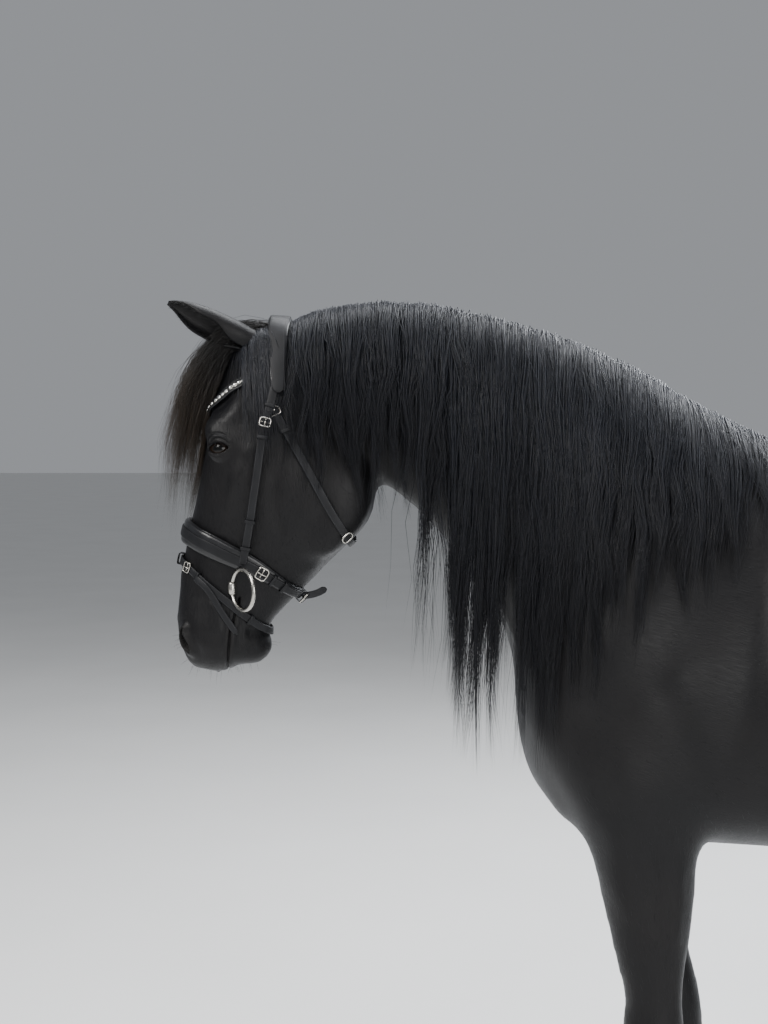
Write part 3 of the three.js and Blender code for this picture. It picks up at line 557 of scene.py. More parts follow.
def shapeEyes(points, bare):
    size = eyeShape
    for side in sides.values():
        axes = eyeAxes(side)
        centre = np.array(mirrored(size["place"], side))
        local = (points - centre) @ axes
        near = np.flatnonzero((np.hypot(local[:, 0], local[:, 1]) < size["reach"]) & (local[:, 2] > -14))
        a, b, c = local[near].T
        bow = np.clip(1 - np.abs(a / size["long"]) ** size["corners"], 0, 1)
        over, under = b - size["up"] * bow, -size["down"] * bow - b
        edge = np.maximum(np.maximum(over, under), (np.abs(a) - size["long"]) * 0.6)
        snap = (np.abs(edge) < 0.8) & (np.abs(a) < size["long"])
        b = np.where(snap & (over >= under), b - over, np.where(snap, b + under, b))
        edge = np.where(snap, 0.0, edge)
        spot = a * a + b * b
        away = np.maximum(edge, 0)
        radius = size["radius"] + 0.8 + size["lid"] * (1 - np.exp(-away / 1.5))
        lid = np.sqrt(np.maximum(radius**2 - spot, 0))
        onLid = smooth(radius - np.sqrt(spot), -1, 3)
        lid = lid * onLid - 60 * (1 - onLid)
        orbit = 5 * np.exp(-(((a - 2) / 36) ** 2) - ((b - 10) / 26) ** 2)
        around = c + orbit
        outer = 0.5 * (around + lid + np.sqrt((around - lid) ** 2 + 16))
        middle = np.exp(-((a / 19) ** 4))
        for folds, beyond, here in ((size["upperFolds"], over, b > 0), (size["lowerFolds"], under, b < 0)):
            for height, at, width in folds:
                outer += height * np.exp(-(((beyond - at) / width) ** 2)) * middle * here
        corner = np.hypot((a + size["long"] + 4) / 5.5, (b + 1.5) / 2)
        outer -= 2.6 * np.exp(-(corner**2))
        fade = 1 - smooth(np.hypot(a, b), size["reach"] - 18, size["reach"])
        outer = c + (outer - c) * fade
        socket = np.sqrt(np.maximum(size["radius"] ** 2 - spot, 0)) - 7
        inside = smooth(-edge, 0.1, 1.5)
        c = outer * (1 - inside) + np.minimum(socket, outer) * inside
        points[near] = centre + np.stack([a, b, c], 1) @ axes.T
        bare[near] = np.maximum(bare[near], np.exp(-((edge / 3.5) ** 2)))


def shapeNostrils(points, bare):
    size = nostrilShape
    for side in sides.values():
        axes = axesOf((-0.74, 0.64, -0.22), (-0.45, 0.05, 0.89), side)
        centre = np.array(mirrored(size["place"], side))
        local = (points - centre) @ axes
        if axes[0, 1] < 0:
            local[:, 1] *= -1
            axes[:, 1] *= -1
        near = np.flatnonzero((np.hypot(local[:, 0], local[:, 1]) < size["reach"]) & (local[:, 2] > -30))
        a, b, c = local[near].T
        bulb = (np.hypot((a + 6) / size["long"], (b - 1) / size["wide"]) - 1) * size["wide"]
        steps = np.linspace(0, 1, 12)[:, None]
        bend = np.hstack([steps * 21, 1 + 7 * steps**2])
        gaps = np.linalg.norm(np.stack([a, b], 1)[:, None] - bend[None], axis=2)
        slit = gaps.min(1) - size["slit"] * (1.3 - 0.8 * gaps.argmin(1) / 11)
        edge = -2.2 * np.log(np.exp(-bulb / 2.2) + np.exp(-slit / 2.2))
        raised = size["rim"] * np.exp(-(((edge - 1.5) / 3.4) ** 2)) * (0.75 + 0.25 * np.sign(b))
        raised -= 1.8 * np.exp(-(((edge - 11) / 4.5) ** 2))
        sunk = size["deep"] * smooth(-edge, -0.6, 4.6)
        fade = 1 - smooth(np.hypot(a, b), size["reach"] - 14, size["reach"])
        c = c + raised * fade - sunk
        a = a + sunk * 0.3
        points[near] = centre + np.stack([a, b, c], 1) @ axes.T
        bare[near] = np.maximum(bare[near], 1 - smooth(edge, 0, 8))


def mouthLines(surface):
    for side in sides.values():
        line = [surface.side(x, z, side)[0] for x, z in evenly(mouthLine, 110)]
        last = line[-1]
        for share in np.linspace(0.02, 1, 40):
            line.append(surface.away((last.x - 1.5, last.y * (1 - share), 1000), (0, 0, 1))[0])
        yield np.array(line)


def shapeMouth(mesh, bare):
    points, normals = coordinates(mesh), normalsOf(mesh)
    for line in mouthLines(Surface(mesh)):
        press(points, normals, line + [-7, 0, 0], 6, 2.0, taper=0.1)
        press(points, normals, line + [7, 0, 0], 6, 2.2, taper=0.1)
        press(points, normals, line, 1.7, -6.5, taper=0.02)
        press(points, normals, line[:20] + [9, 0, -12], 4, 3, taper=0.2)
        near = np.flatnonzero((np.abs(points - line.mean(0)) < 110).all(1))
        gaps = np.linalg.norm(points[near][:, None] - line[None], axis=2).min(1)
        bare[near] = np.maximum(bare[near], 0.8 * np.exp(-((gaps / 7) ** 2)))
    setCoordinates(mesh, points)


refine(skinMesh, lambda p: nearEye(p, 58) | nearNostril(p, 42) | nearMouth(p, 20))
refine(skinMesh, lambda p: nearEye(p, 36) | nearNostril(p, 32) | nearMouth(p, 8))
sculpt(skinMesh, fineMarks)
bareSkin = np.zeros(len(skinMesh.vertices))
shapeMouth(skinMesh, bareSkin)
skinPoints = coordinates(skinMesh)
shapeEyes(skinPoints, bareSkin)
shapeNostrils(skinPoints, bareSkin)
setCoordinates(skinMesh, skinPoints)
skin = Surface(skinMesh)
skinMesh.calc_loop_triangles()
print("skin:", len(skinMesh.loop_triangles), "triangles")


# Materials. In the values of a node, a node or socket is linked and anything else is set
class Tree:
    def __init__(self, tree):
        self.tree = tree

    def fill(self, made, values):
        for key, value in values.items():
            if isinstance(value, bpy.types.Node):
                value = value.outputs[0]
            if isinstance(value, bpy.types.NodeSocket):
                self.tree.links.new(value, made.inputs[key])
            else:
                made.inputs[key].default_value = value
        return made

    def add(self, kind, values=None, **settings):
        made = self.tree.nodes.new("ShaderNode" + kind)
        for key, value in settings.items():
            setattr(made, key, value)
        return self.fill(made, values or {})

    def shade(self, values):
        self.fill(self.tree.nodes["Principled BSDF"], values)

    def place(self):
        return self.add("TexCoord").outputs["Object"]

    def attribute(self, name):
        return self.add("Attribute", attribute_name=name).outputs["Fac"]

    def noise(self, vector, scale, detail, roughness=0.5):
        values = {"Vector": vector, "Scale": scale, "Detail": detail, "Roughness": roughness}
        return self.add("TexNoise", values)

    def cells(self, vector, scale):
        return self.add("TexVoronoi", {"Vector": vector, "Scale": scale})

    def streaks(self, vector, across, along):
        return self.add("Group", {"Vector": vector, "Across": across, "Along": along}, node_tree=streakGroup)

    def math(self, operation, *values):
        return self.add("Math", dict(enumerate(values)), operation=operation)

    def mix(self, kind, factor, a, b, **settings):
        made = self.add("Mix", {"Factor": factor, "A": a, "B": b}, data_type=kind, **settings)
        return made.outputs["Result"]

    def spread(self, value, low, high, start=0.0, end=1.0):
        values = {"Value": value, "From Min": start, "From Max": end, "To Min": low, "To Max": high}
        return self.add("MapRange", values)

    def bump(self, height, strength, distance):
        return self.add("Bump", {"Height": height, "Strength": strength, "Distance": distance})

    def ramp(self, factor, stops):
        made = self.add("ValToRGB", {"Fac": factor})
        elements = made.color_ramp.elements
        for index, (position, colour) in enumerate(stops):
            element = elements[index] if index < 2 else elements.new(position)
            element.position, element.color = position, (*colour, 1)
        return made


# Short hair lying one way: fine streaks, longer than wide
def makeStreaks():
    group = bpy.data.node_groups.new("streaks", "ShaderNodeTree")
    for label, kind in (("Vector", "Vector"), ("Across", "Float"), ("Along", "Float")):
        group.interface.new_socket(label, in_out="INPUT", socket_type="NodeSocket" + kind)
    group.interface.new_socket("Height", in_out="OUTPUT", socket_type="NodeSocketFloat")
    start, end = group.nodes.new("NodeGroupInput"), group.nodes.new("NodeGroupOutput")
    tree = Tree(group)
    split = tree.add("SeparateXYZ", {0: start.outputs["Vector"]})
    scaled = {}
    for axis, way in (("X", "Across"), ("Y", "Across"), ("Z", "Along")):
        scaled[axis] = tree.math("MULTIPLY", split.outputs[axis], start.outputs[way])
    tree.fill(end, {"Height": tree.noise(tree.add("CombineXYZ", scaled), 1.0, 3.0, 0.6)})
    return group


streakGroup = makeStreaks()


def newMaterial(name):
    material = bpy.data.materials.new(name)
    material.use_nodes = True
    return material, Tree(material.node_tree)


def makeCoat():
    material, tree = newMaterial("blackCoat")
    place = tree.place()
    turned = tree.add("Mapping", {"Vector": place, "Rotation": (0, math.radians(72), 0)}, vector_type="POINT")
    hanging, lying = (tree.streaks(way, 420.0, 45.0) for way in (place, turned))
    height = tree.mix("FLOAT", tree.attribute("hanging"), lying, hanging)
    bare = tree.attribute("bare")
    ground = tree.mix("FLOAT", bare, height, tree.cells(place, 900.0))
    shades = [(0.3, (0.0026, 0.0028, 0.0036)), (0.75, (0.0056, 0.0052, 0.0056))]
    slow = tree.ramp(tree.noise(place, 5.0, 4.0), shades)
    lighter = tree.ramp(height, [(0, (0.55, 0.55, 0.6)), (1, (1.6, 1.5, 1.45))])
    streaked = tree.mix("RGBA", 0.5, slow, lighter, blend_type="MULTIPLY")
    tree.shade({
        "Base Color": tree.mix("RGBA", bare, streaked, (0.0045, 0.0040, 0.0042, 1)),
        "Roughness": tree.spread(height, 0.38, 0.56, 0.3, 0.7),
        "Normal": tree.bump(ground, 0.55, 0.0011),
        "IOR": 1.3,
        "Sheen Weight": 0.02,
        "Sheen Roughness": 0.35,
        "Sheen Tint": (0.62, 0.7, 0.9, 1),
    })
    return material


# Long hair: the shade changes from strand to strand and from root to tip
def makeHair(name, root, tip, sheenTint):
    material, tree = newMaterial(name)
    tone = tree.attribute("tone")
    banding = tree.spread(tree.streaks(tree.place(), 160.0, 9.0), 0.5, 1.5, 0.25, 0.75)
    strength = tree.math("MULTIPLY", tree.spread(tone, 0.6, 1.5), banding)
    shade = tree.ramp(tree.attribute("along"), [(0.45, root), (1, tip)])
    tree.shade({
        "Base Color": tree.add("VectorMath", {0: shade, "Scale": strength}, operation="SCALE"),
        "Roughness": tree.spread(tone, 0.36, 0.52),
        "IOR": 1.4,
        "Sheen Weight": 0.02,
        "Sheen Tint": (*sheenTint, 1),
    })
    return material


# Leather: pebbled grain, fine creases and a shade worn lighter in random patches
def makeLeather(name, shade, gloss, shine=0.26):
    material, tree = newMaterial(name)
    place = tree.place()
    creases = tree.noise(place, 190.0, 5.0, 0.65)
    worn = [1.8 * c + 0.001 for c in shade]
    tree.shade({
        "Base Color": tree.ramp(tree.noise(place, 32.0, 3.0), [(0.35, shade), (0.8, worn)]),
        "Roughness": tree.spread(creases, gloss, gloss + 0.2),
        "Normal": tree.bump(tree.mix("FLOAT", 0.45, tree.cells(place, 620.0), creases), 0.4, 0.0006),
        "Specular IOR Level": shine,
    })
    return material


def makeMetal(name, colour, rough):
    material, tree = newMaterial(name)
    scratches = tree.noise(tree.place(), 260.0, 6.0, 0.7)
    tree.shade({
        "Base Color": tree.ramp(scratches, [(0, [0.8 * c for c in colour]), (1, colour)]),
        "Metallic": 1,
        "Roughness": tree.spread(scratches, rough, rough + 0.18, 0.3, 0.75),
        "Normal": tree.bump(scratches, 0.08, 0.0004),
    })
    return material


def makeHorn():
    material, tree = newMaterial("horn")
    place = tree.place()
    fibres = tree.streaks(place, 520.0, 16.0)
    waves = {"Vector": place, "Scale": 26.0, "Distortion": 2.2, "Detail": 2.0}
    rings = tree.add("TexWave", waves, bands_direction="Z").outputs["Fac"]
    tree.shade({
        "Base Color": tree.ramp(fibres, [(0, (0.0050, 0.0044, 0.0042)), (1, (0.024, 0.020, 0.0175))]),
        "Normal": tree.bump(tree.math("MULTIPLY_ADD", rings, 0.5, fibres), 0.5, 0.001),
        "Roughness": 0.5,
    })
    return material


def makeEyeball():  # a dark brown iris with a wide pupil, by the eyeball's own UV map
    material, tree = newMaterial("eyeball")
    place = tree.add("UVMap", uv_map="iris")
    split = tree.add("SeparateXYZ", {0: place})
    wide = tree.math("MULTIPLY", split.outputs["X"], 0.62)
    flat = tree.add("CombineXYZ", {"X": wide, "Y": split.outputs["Y"]})
    ring = tree.add("VectorMath", {0: flat}, operation="LENGTH").outputs["Value"]
    pupil, edge = (0.0010, 0.0010, 0.0013), (0.012, 0.0055, 0.0026)
    iris, rim = (0.017, 0.0085, 0.004), (0.005, 0.0035, 0.003)
    shade = tree.ramp(ring, [(0.26, pupil), (0.31, edge), (0.5, iris), (0.62, rim)])
    fibres = tree.noise(place, 14.0, 5.0).outputs["Color"]
    tree.shade({
        "Base Color": tree.mix("RGBA", 0.6, shade, fibres, blend_type="MULTIPLY"),
        "Roughness": 0.3,
        "Specular IOR Level": 0.1,
        "Coat Weight": 0.34,
        "Coat Roughness": 0.03,
    })
    return material


coat = makeCoat()
# The mane's root colour is the hair's own near-black with a blue tint added as a painted reflection of the
# sky in the shaded hair; the tip colour is the hair's own
maneHair = makeHair("maneHair", (0.0030, 0.0036, 0.0062), (0.0050, 0.0046, 0.0054), (0.55, 0.66, 0.95))
foreHair = makeHair("foreHair", (0.0045, 0.0040, 0.0040), (0.030, 0.020, 0.012), (0.8, 0.72, 0.66))
bodyHair = makeHair("bodyHair", (0.0032, 0.0032, 0.0040), (0.0048, 0.0044, 0.0046), (0.62, 0.7, 0.9))
leather = makeLeather("blackLeather", (0.0040, 0.0043, 0.0055), 0.42)
softLeather = makeLeather("paddedLeather", (0.0055, 0.0058, 0.0070), 0.2, 0.5)
thread = makeLeather("thread", (0.035, 0.035, 0.038), 0.5)
steel = makeMetal("steel", (0.56, 0.54, 0.50), 0.16)
crystal = makeMetal("crystal", (0.93, 0.93, 0.9), 0.03)
horn = makeHorn()
eyeball = makeEyeball()


def addPiece(name, mesh, material, slot, replaced=(), smoothed=True):
    mesh.name = name
    piece = bpy.data.objects.new(name, mesh)
    bpy.context.scene.collection.objects.link(piece)
    mesh.transform(tableToFrame)
    mesh.materials.clear()
    mesh.materials.append(material)
    if smoothed:
        mesh.shade_smooth()
    mesh.update()
    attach(piece, "root")
    if replaced:
        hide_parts(*replaced)


def addAttribute(mesh, name, values):
    attribute = mesh.attributes.new(name, "FLOAT", "POINT")
    attribute.data.foreach_set("value", np.asarray(values, np.float32))


# The skin
addAttribute(skinMesh, "bare", bareSkin)
onLegs = 1 - smooth(skinPoints[:, 2], 850, 1050)
onHead = 1 - smooth(skinPoints[:, 0] + 0.4 * (skinPoints[:, 2] - 1500), -620, -480)
onNeck = 1 - smooth(skinPoints[:, 0], -260, 60)
addAttribute(skinMesh, "hanging", np.maximum(np.maximum(onLegs, onHead), 0.5 * onNeck))
legNames = [f"leg_{kind}_{sideName}" for kind in legKinds for sideName in sides]
addPiece("skin", skinMesh, coat, "coat", ["torso", "neck", "head", "tail"] + legNames)
print("skin placed")


# Eyes: the cornea bulges a little
def addEye(sideName):
    side = sides[sideName]
    bm = bmesh.new()
    bmesh.ops.create_uvsphere(bm, u_segments=48, v_segments=32, radius=eyeShape["radius"])
    iris = bm.loops.layers.uv.new("iris")
    axes = eyeAxes(side)
    centre = np.array(mirrored(eyeShape["place"], side))
    for face in bm.faces:
        for loop in face.loops:
            place = loop.vert.co / eyeShape["radius"]
            loop[iris].uv = (place.x, place.y) if place.z > 0 else (1.0, 1.0)
    bulge, radius = eyeShape["cornea"]
    for vertex in bm.verts:
        x, y, z = vertex.co
        z += bulge * max(0, 1 - (math.hypot(x, y) / radius) ** 2) * (z > 0)
        vertex.co = centre + axes @ np.array([x, y, z])
    bmesh.ops.recalc_face_normals(bm, faces=bm.faces)
    addPiece(f"eyeball_{sideName}", meshFrom(bm), eyeball, "eye", [f"eye_{sideName}"])


for sideName in sides:
    addEye(sideName)


# Hooves: growth rings run round them, and the heels are lower than the toe
hoofShape = {
    "high": 96,
    "heelDrop": 16,
    "crown": (53, 52),
    "ground": (71, 65),
    "back": (-34, -2),  # how far back the middle lies, at the ground and at the crown
    "rings": 15,
    "around": 56,
    "ripple": 0.7,
}


def addHoof(kind, sideName):
    side, size = sides[sideName], hoofShape
    bm = bmesh.new()
    bmesh.ops.create_circle(bm, cap_ends=False, radius=1, segments=size["around"])
    rim = list(bm.edges)
    for _ in range(size["rings"] + 3):
        made = bmesh.ops.extrude_edge_only(bm, edges=rim)["geom"]
        rim = [e for e in made if isinstance(e, bmesh.types.BMEdge) and len(e.link_faces) == 1]
    bmesh.ops.holes_fill(bm, edges=bm.edges, sides=0)
    bm.verts.ensure_lookup_table()
    place = legKinds[kind]["hoofX"] + float(slideOf(kind, side, 0))
    for index, vertex in enumerate(bm.verts):
        row = index // size["around"]
        share = min(row, size["rings"]) / size["rings"]
        inset = max(0, row - size["rings"])
        x, y = vertex.co.x, vertex.co.y
        heel = smooth(x, 0.55, 0.95)
        lift = size["ripple"] * math.sin(share * 26 + 0.6 * y) * (0.1 < share < 0.95)
        notch = 1 - 0.16 * heel * math.exp(-((y / 0.22) ** 2))
        radius = [g + (c - g) * share**0.92 for g, c in zip(size["ground"], size["crown"])]
        radius = [(r + lift) * notch - 7 * inset - 2.5 * (row == 0) for r in radius]
        crown = size["high"] - (x + 1) * size["heelDrop"] + 4 * math.sin(min(inset, 2))
        low, high = size["back"]
        across = legKinds[kind]["hoofY"] * side + y * radius[1]
        vertex.co = (place + low + (high - low) * share + x * radius[0], across, crown * share)
    bmesh.ops.recalc_face_normals(bm, faces=bm.faces)
    addPiece(f"hoof_wall_{kind}_{sideName}", meshFrom(bm), horn, "horn", [f"hoof_{kind}_{sideName}"])


for kind in legKinds:
    for sideName in sides:
        addHoof(kind, sideName)
print("eyes and hooves")


# Ears: a leaf rolled into a tube at its root and open below its tip
earShape = {
    "base": (-706, 45, 1752),
    "tip": (-834, 56, 1819),
    "opening": (-0.3, 0.75, -0.6),
    "wide": 33,
    "wall": 3.4,
}


def earFrame(side):
    base, tip = (np.array(mirrored(earShape[key], side), float) for key in ("base", "tip"))
    along = unit(tip - base)
    opening = np.array(mirrored(earShape["opening"], side), float)
    opening = unit(opening - along * (along @ opening))
    return base, tip, along, opening, np.cross(along, opening)


def earPoint(side, share, turn):  # turn from -1 at one edge, over 0 at the ear's back, to 1
    base, tip, along, opening, across = earFrame(side)
    spread = max(0.0, share)
    radius = max(0.8, earShape["wide"] * (0.7 + 0.75 * spread) * (1 - min(1, spread) ** 1.75) ** 0.78)
    swing = math.radians(172 - 62 * smooth(share, 0.0, 0.45) - 50 * smooth(share, 0.55, 1)) * turn
    bow = -9 * (1 - spread) + 5 * math.sin(math.pi * min(1, spread))
    centre = base + (tip - base) * share + opening * bow
    curl = 1 - 0.14 * abs(turn) ** 4
    return centre + across * radius * math.sin(swing) * curl - opening * radius * 0.82 * math.cos(swing)


def earMesh(side):
    bm = bmesh.new()
    bmesh.ops.create_grid(bm, x_segments=44, y_segments=40, size=1)
    for vertex in bm.verts:  # from a sunk root almost to the tip
        vertex.co = earPoint(side, -0.14 + 1.13 * (vertex.co.y + 1) / 2, vertex.co.x)
    bmesh.ops.recalc_face_normals(bm, faces=bm.faces)
    bmesh.ops.solidify(bm, geom=bm.faces, thickness=earShape["wall"])
    bmesh.ops.recalc_face_normals(bm, faces=bm.faces)
    return meshFrom(bm)


for sideName, side in sides.items():
    mesh = earMesh(side)
    addAttribute(mesh, "hanging", np.full(len(mesh.vertices), 0.3))
    addPiece(f"ear_leaf_{sideName}", mesh, coat, "coat", [f"ear_{sideName}"])


# Bridle. A sweep carries a profile, a closed line of points across and outward, along a path
def sweep(bm, middles, across, outward, profiles, closed=False):
    count, rows = len(profiles[0]), len(middles) - 1 + closed
    made = bmesh.ops.create_grid(bm, x_segments=count, y_segments=rows, size=1)["verts"]
    for index, vertex in enumerate(made):
        row, column = divmod(index, count + 1)
        row %= len(middles)
        x, y = profiles[row][column % count]
        vertex.co = middles[row] + across[row] * x + outward[row] * y
    bmesh.ops.remove_doubles(bm, verts=made, dist=0.01)
    rims = {e for v in made if v.is_valid for e in v.link_edges if len(e.link_faces) == 1}
    if rims:
        bmesh.ops.holes_fill(bm, edges=list(rims), sides=0)


def roundTurns(count):
    return np.linspace(0, 2 * math.pi, count, endpoint=False)


def flatProfile(width, thick, low=0.0, corners=16, crown=0.0):
    turns = roundTurns(corners)
    x = squared(np.cos(turns), 0.35) * width / 2
    y = squared(np.sin(turns), 0.55) * thick / 2
    y += crown * (1 - (2 * x / width) ** 2) * (y > 0)
    return np.stack([x, y + thick / 2 + low], 1)


def roundProfile(radius, corners):
    turns = roundTurns(corners)
    return np.stack([np.cos(turns), np.sin(turns)], 1) * radius


def tangentsOf(points, closed):
    if closed:
        return unit(np.roll(points, -1, 0) - np.roll(points, 1, 0))
    return unit(np.gradient(points, axis=0))


def framesAlong(points, outward, closed=False):
    tangent = tangentsOf(points, closed)
    outward = unit(outward - tangent * (outward * tangent).sum(1)[:, None])
    return np.cross(tangent, outward), outward


def wire(bm, points, radius, closed=False, corners=10):
    points = np.array(points, float)
    reference = points - points.mean(0) if closed else np.tile([0.31, 0.5, 0.81], (len(points), 1))
    across, outward = framesAlong(points, reference, closed)
    sweep(bm, points, across, outward, [roundProfile(radius, corners)] * len(points), closed)


tightRounds = 500  # until a strap lies as tight as it can
emptySkin = 60.0  # taken as the distance to the skin where a ray misses it


def tautRing(run, degrees, offset, closed):
    start, end = (np.array([run[key][0], 0, run[key][1]], float) for key in ("from", "to"))
    along = unit(start - end)
    normal = np.array([-along[2], 0, along[0]])
    turns = np.radians(degrees)
    radii, origins, directions = [], [], []
    for turn in turns:
        outward = along * math.cos(turn) + np.array([0, math.sin(turn), 0])
        origin = (start + end) / 2 + normal * (run["sag"] * math.sin(turn) ** 2 + offset)
        hit, _ = skin.away(origin, outward)
        radii.append((Vector(origin) - hit).length if hit else emptySkin)
        origins.append(origin)
        directions.append(outward)
    base = radii = np.array(radii)
    step = math.cos(turns[1] - turns[0])
    for _ in range(tightRounds):
        padded = np.concatenate([radii[-1:], radii, radii[:1]]) if closed else np.pad(radii, 1, mode="edge")
        chord = 2 * padded[:-2] * padded[2:] * step / (padded[:-2] + padded[2:])
        radii = np.maximum(base, chord)
    directions = np.array(directions)
    return np.array(origins) + directions * radii[:, None], directions


# Where a strap runs in the side view, how it sags, how far round it goes, and how wide its bed on the skin is
def strapFrames(run):
    closed = run["turns"] == (0, 360)
    degrees = np.linspace(*run["turns"], run["points"], endpoint=not closed)
    lower, directions = tautRing(run, degrees, -run["bed"] / 2, closed)
    upper, _ = tautRing(run, degrees, run["bed"] / 2, closed)
    middles = (lower + upper) / 2
    across = unit(upper - lower)
    outward = unit(np.cross(tangentsOf(middles, closed), across))
    outward *= np.sign((outward * directions).sum(1))[:, None]
    return middles, across, outward


def opened(frames):  # a closed strap with its first point again at the end
    return tuple(np.concatenate([v, v[:1]]) for v in frames)


def tightOver(line, side, rounds):  # how far out a strap lies that is pulled tight over the skin
    high = np.array([abs((skin.side(x, z, side)[0] or Vector((0, emptySkin, 0))).y) for x, z in line])
    for _ in range(rounds):
        high[1:-1] = np.maximum(high[1:-1], (high[:-2] + high[2:]) / 2)
    return high


def placedBy(place, *axes):
    matrix = Matrix(np.stack(axes, 1).tolist()).to_4x4()
    matrix.translation = Vector(place)
    return matrix


def stitch(bm, frames, apart, high, pitch, size=(0.45, 1.5, 0.4)):  # two rows, this far from the middle
    lengths = walked(frames[0])
    for side in (-apart, apart):
        for distance in np.arange(pitch, lengths[-1] - pitch, pitch):
            found = [np.array([np.interp(distance, lengths, v[:, k]) for k in range(3)]) for v in frames]
            middle, sideways, up = found
            axes = sideways * size[0], np.cross(up, sideways) * size[1], up * size[2]
            matrix = placedBy(middle + sideways * side + up * high, *axes)
            bmesh.ops.create_icosphere(bm, subdivisions=1, radius=1, matrix=matrix)


def roundedFrame(place, across, along, wide, long, corner, count=28):
    turns = roundTurns(count)
    x = squared(np.cos(turns), corner) * wide / 2
    y = squared(np.sin(turns), corner) * long / 2
    return place + across * x[:, None] + along * y[:, None]


def nearestShare(frames, x, z, side):
    middles = frames[0]
    gaps = np.hypot(middles[:, 0] - x, middles[:, 2] - z) + 1000 * (middles[:, 1] * side < 0)
    return gaps.argmin() / (len(middles) - 1)


def at(frames, spot):  # a spot is a share of the length, or x, z and side of the nearest place
    middles, across, outward = frames
    share = nearestShare(frames, *spot) if isinstance(spot, tuple) else spot
    index = min(len(middles) - 1, max(0, int(round(share * (len(middles) - 1)))))
    sideways, up = across[index], outward[index]
    return middles[index], sideways, unit(np.cross(up, sideways)), up


# A buckle: a rounded frame, a tongue along the strap, and the bar that it hangs on
def addBuckle(parts, frames, spot, high, wide, long, wireSize=1.1):
    bm = parts["fittings"]
    place, across, along, outward = at(frames, spot)
    place = place + outward * high
    rim = roundedFrame(place + outward * 1.5, across, along, wide, long, 0.45)
    wire(bm, rim, wireSize, closed=True, corners=8)
    tongue = []
    for share in np.linspace(-0.42, 0.52, 7):
        arch = 1.2 + 2.6 * math.sin(math.pi * (share + 0.5))
        tongue.append(place + along * (long * share) + outward * arch)
    wire(bm, tongue, wireSize * 0.75, corners=8)
    bar = [place + across * (wide * share) for share in np.linspace(-0.5, 0.5, 4)]
    wire(bm, bar, wireSize * 0.8, corners=8)


def addKeeper(parts, frames, spot, high, wide, thick, long=6.0):
    place, across, along, outward = at(frames, spot)
    place = place + outward * high
    ring = roundedFrame(place, across, outward, wide + 3, thick + 3, 0.4, 24)
    profiles = [flatProfile(long, 1.6, -0.8, 8)] * len(ring)
    sweep(parts["strap"], ring, np.tile(along, (len(ring), 1)), unit(ring - place), profiles, closed=True)


# Width, thickness and height over the skin are numbers, or functions of the share of the length
def addStrap(bm, frames, width, thick, low, crown=0.3, closed=False):
    middles, across, outward = frames
    share = np.linspace(0, 1, len(middles))
    sizes = [np.array([v(s) if callable(v) else v for s in share]) for v in (width, thick, low)]
    if not closed:
        lengths = walked(middles)
        fromEnd = np.minimum(lengths, lengths[-1] - lengths) + 0.6
        inset = 1 - np.minimum(1, fromEnd / (sizes[0] / 2))
        sizes[0] = sizes[0] * np.minimum(1, (1 - inset**2) ** 0.5 + 0.05)
    profiles = [flatProfile(*row, crown=crown) for row in zip(*sizes)]
    sweep(bm, middles, across, outward, profiles, closed)


bridleLooks = {
    "strap": (leather, "leather"),
    "thread": (thread, "leather"),
    "fittings": (steel, "steel"),
    "padding": (softLeather, "leather"),
    "stones": (crystal, "steel"),
}


def newParts(*kinds):
    return {kind: bmesh.new() for kind in kinds}


def finishBridle(name, parts):
    for kind, bm in parts.items():
        bmesh.ops.recalc_face_normals(bm, faces=bm.faces)
        replaced = [f"bridle_{name}"] if kind == "strap" else []
        addPiece(f"{name}_{kind}", meshFrom(bm), *bridleLooks[kind], replaced, smoothed=kind != "stones")


crownShape = {
    "from": (-642, 1830),
    "to": (-635, 1560),
    "sag": 0,
    "turns": (-112, 112),
    "points": 90,
    "bed": 26,
    "wide": 36,
    "narrow": 20,
    "thick": 3.4,
    "low": 13.0,
    "pad": 6,
    "padBeyond": 5,
}


def buildCrown():
    size = crownShape
    parts, frames = newParts("strap", "thread", "padding"), strapFrames(size)
    wide = lambda s: size["wide"] - (size["wide"] - size["narrow"]) * abs(2 * s - 1) ** 1.4
    low, pad = size["low"], size["pad"]
    addStrap(parts["padding"], frames, lambda s: wide(s) + size["padBeyond"], pad, low - pad, crown=0.8)
    addStrap(parts["strap"], frames, wide, size["thick"], low, crown=0.4)
    stitch(parts["thread"], frames, 11, low + 3.3, 4.2)
    finishBridle("crown", parts)


throatlatchShape = {
    "from": (-684, 1700),
    "to": (-497, 1368),
    "sag": 0,
    "turns": (40, 320),
    "points": 150,
    "bed": 13,
    "wide": 14.5,
    "thick": 3.2,
    "low": 5.5,
    "buckle": (-641, 1630),
    "keeper": (-620, 1596),
    "ring": (-523, 1414),
}


def buildThroatlatch():
    size = throatlatchShape
    parts, frames = newParts("strap", "thread", "fittings"), strapFrames(size)
    addStrap(parts["strap"], frames, size["wide"], size["thick"], size["low"])
    stitch(parts["thread"], frames, 5.6, 8.6, 3.6)
    for side in (-1, 1):
        addBuckle(parts, frames, (*size["buckle"], side), 8, 19, 14)
        addKeeper(parts, frames, (*size["keeper"], side), 7, 15, 5)
        middle, across, along, outward = at(frames, (*size["ring"], side))
        ring = roundedFrame(middle + outward * 8, across, along, 20, 15, 0.7)
        wire(parts["fittings"], ring, 1.5, closed=True)
    finishBridle("throatlatch", parts)


browbandShape = {
    "from": (-776, 1618),
    "to": (-606, 1700),
    "sag": -22,
    "turns": (-114, 114),
    "points": 150,
    "bed": 14,
    "wide": 15,
    "thick": 4,
    "low": 3.0,
    "piping": 1.7,
    "firstStone": 22,
    "stonePitch": 9.2,
    "stone": (3.4, 2.6),
}


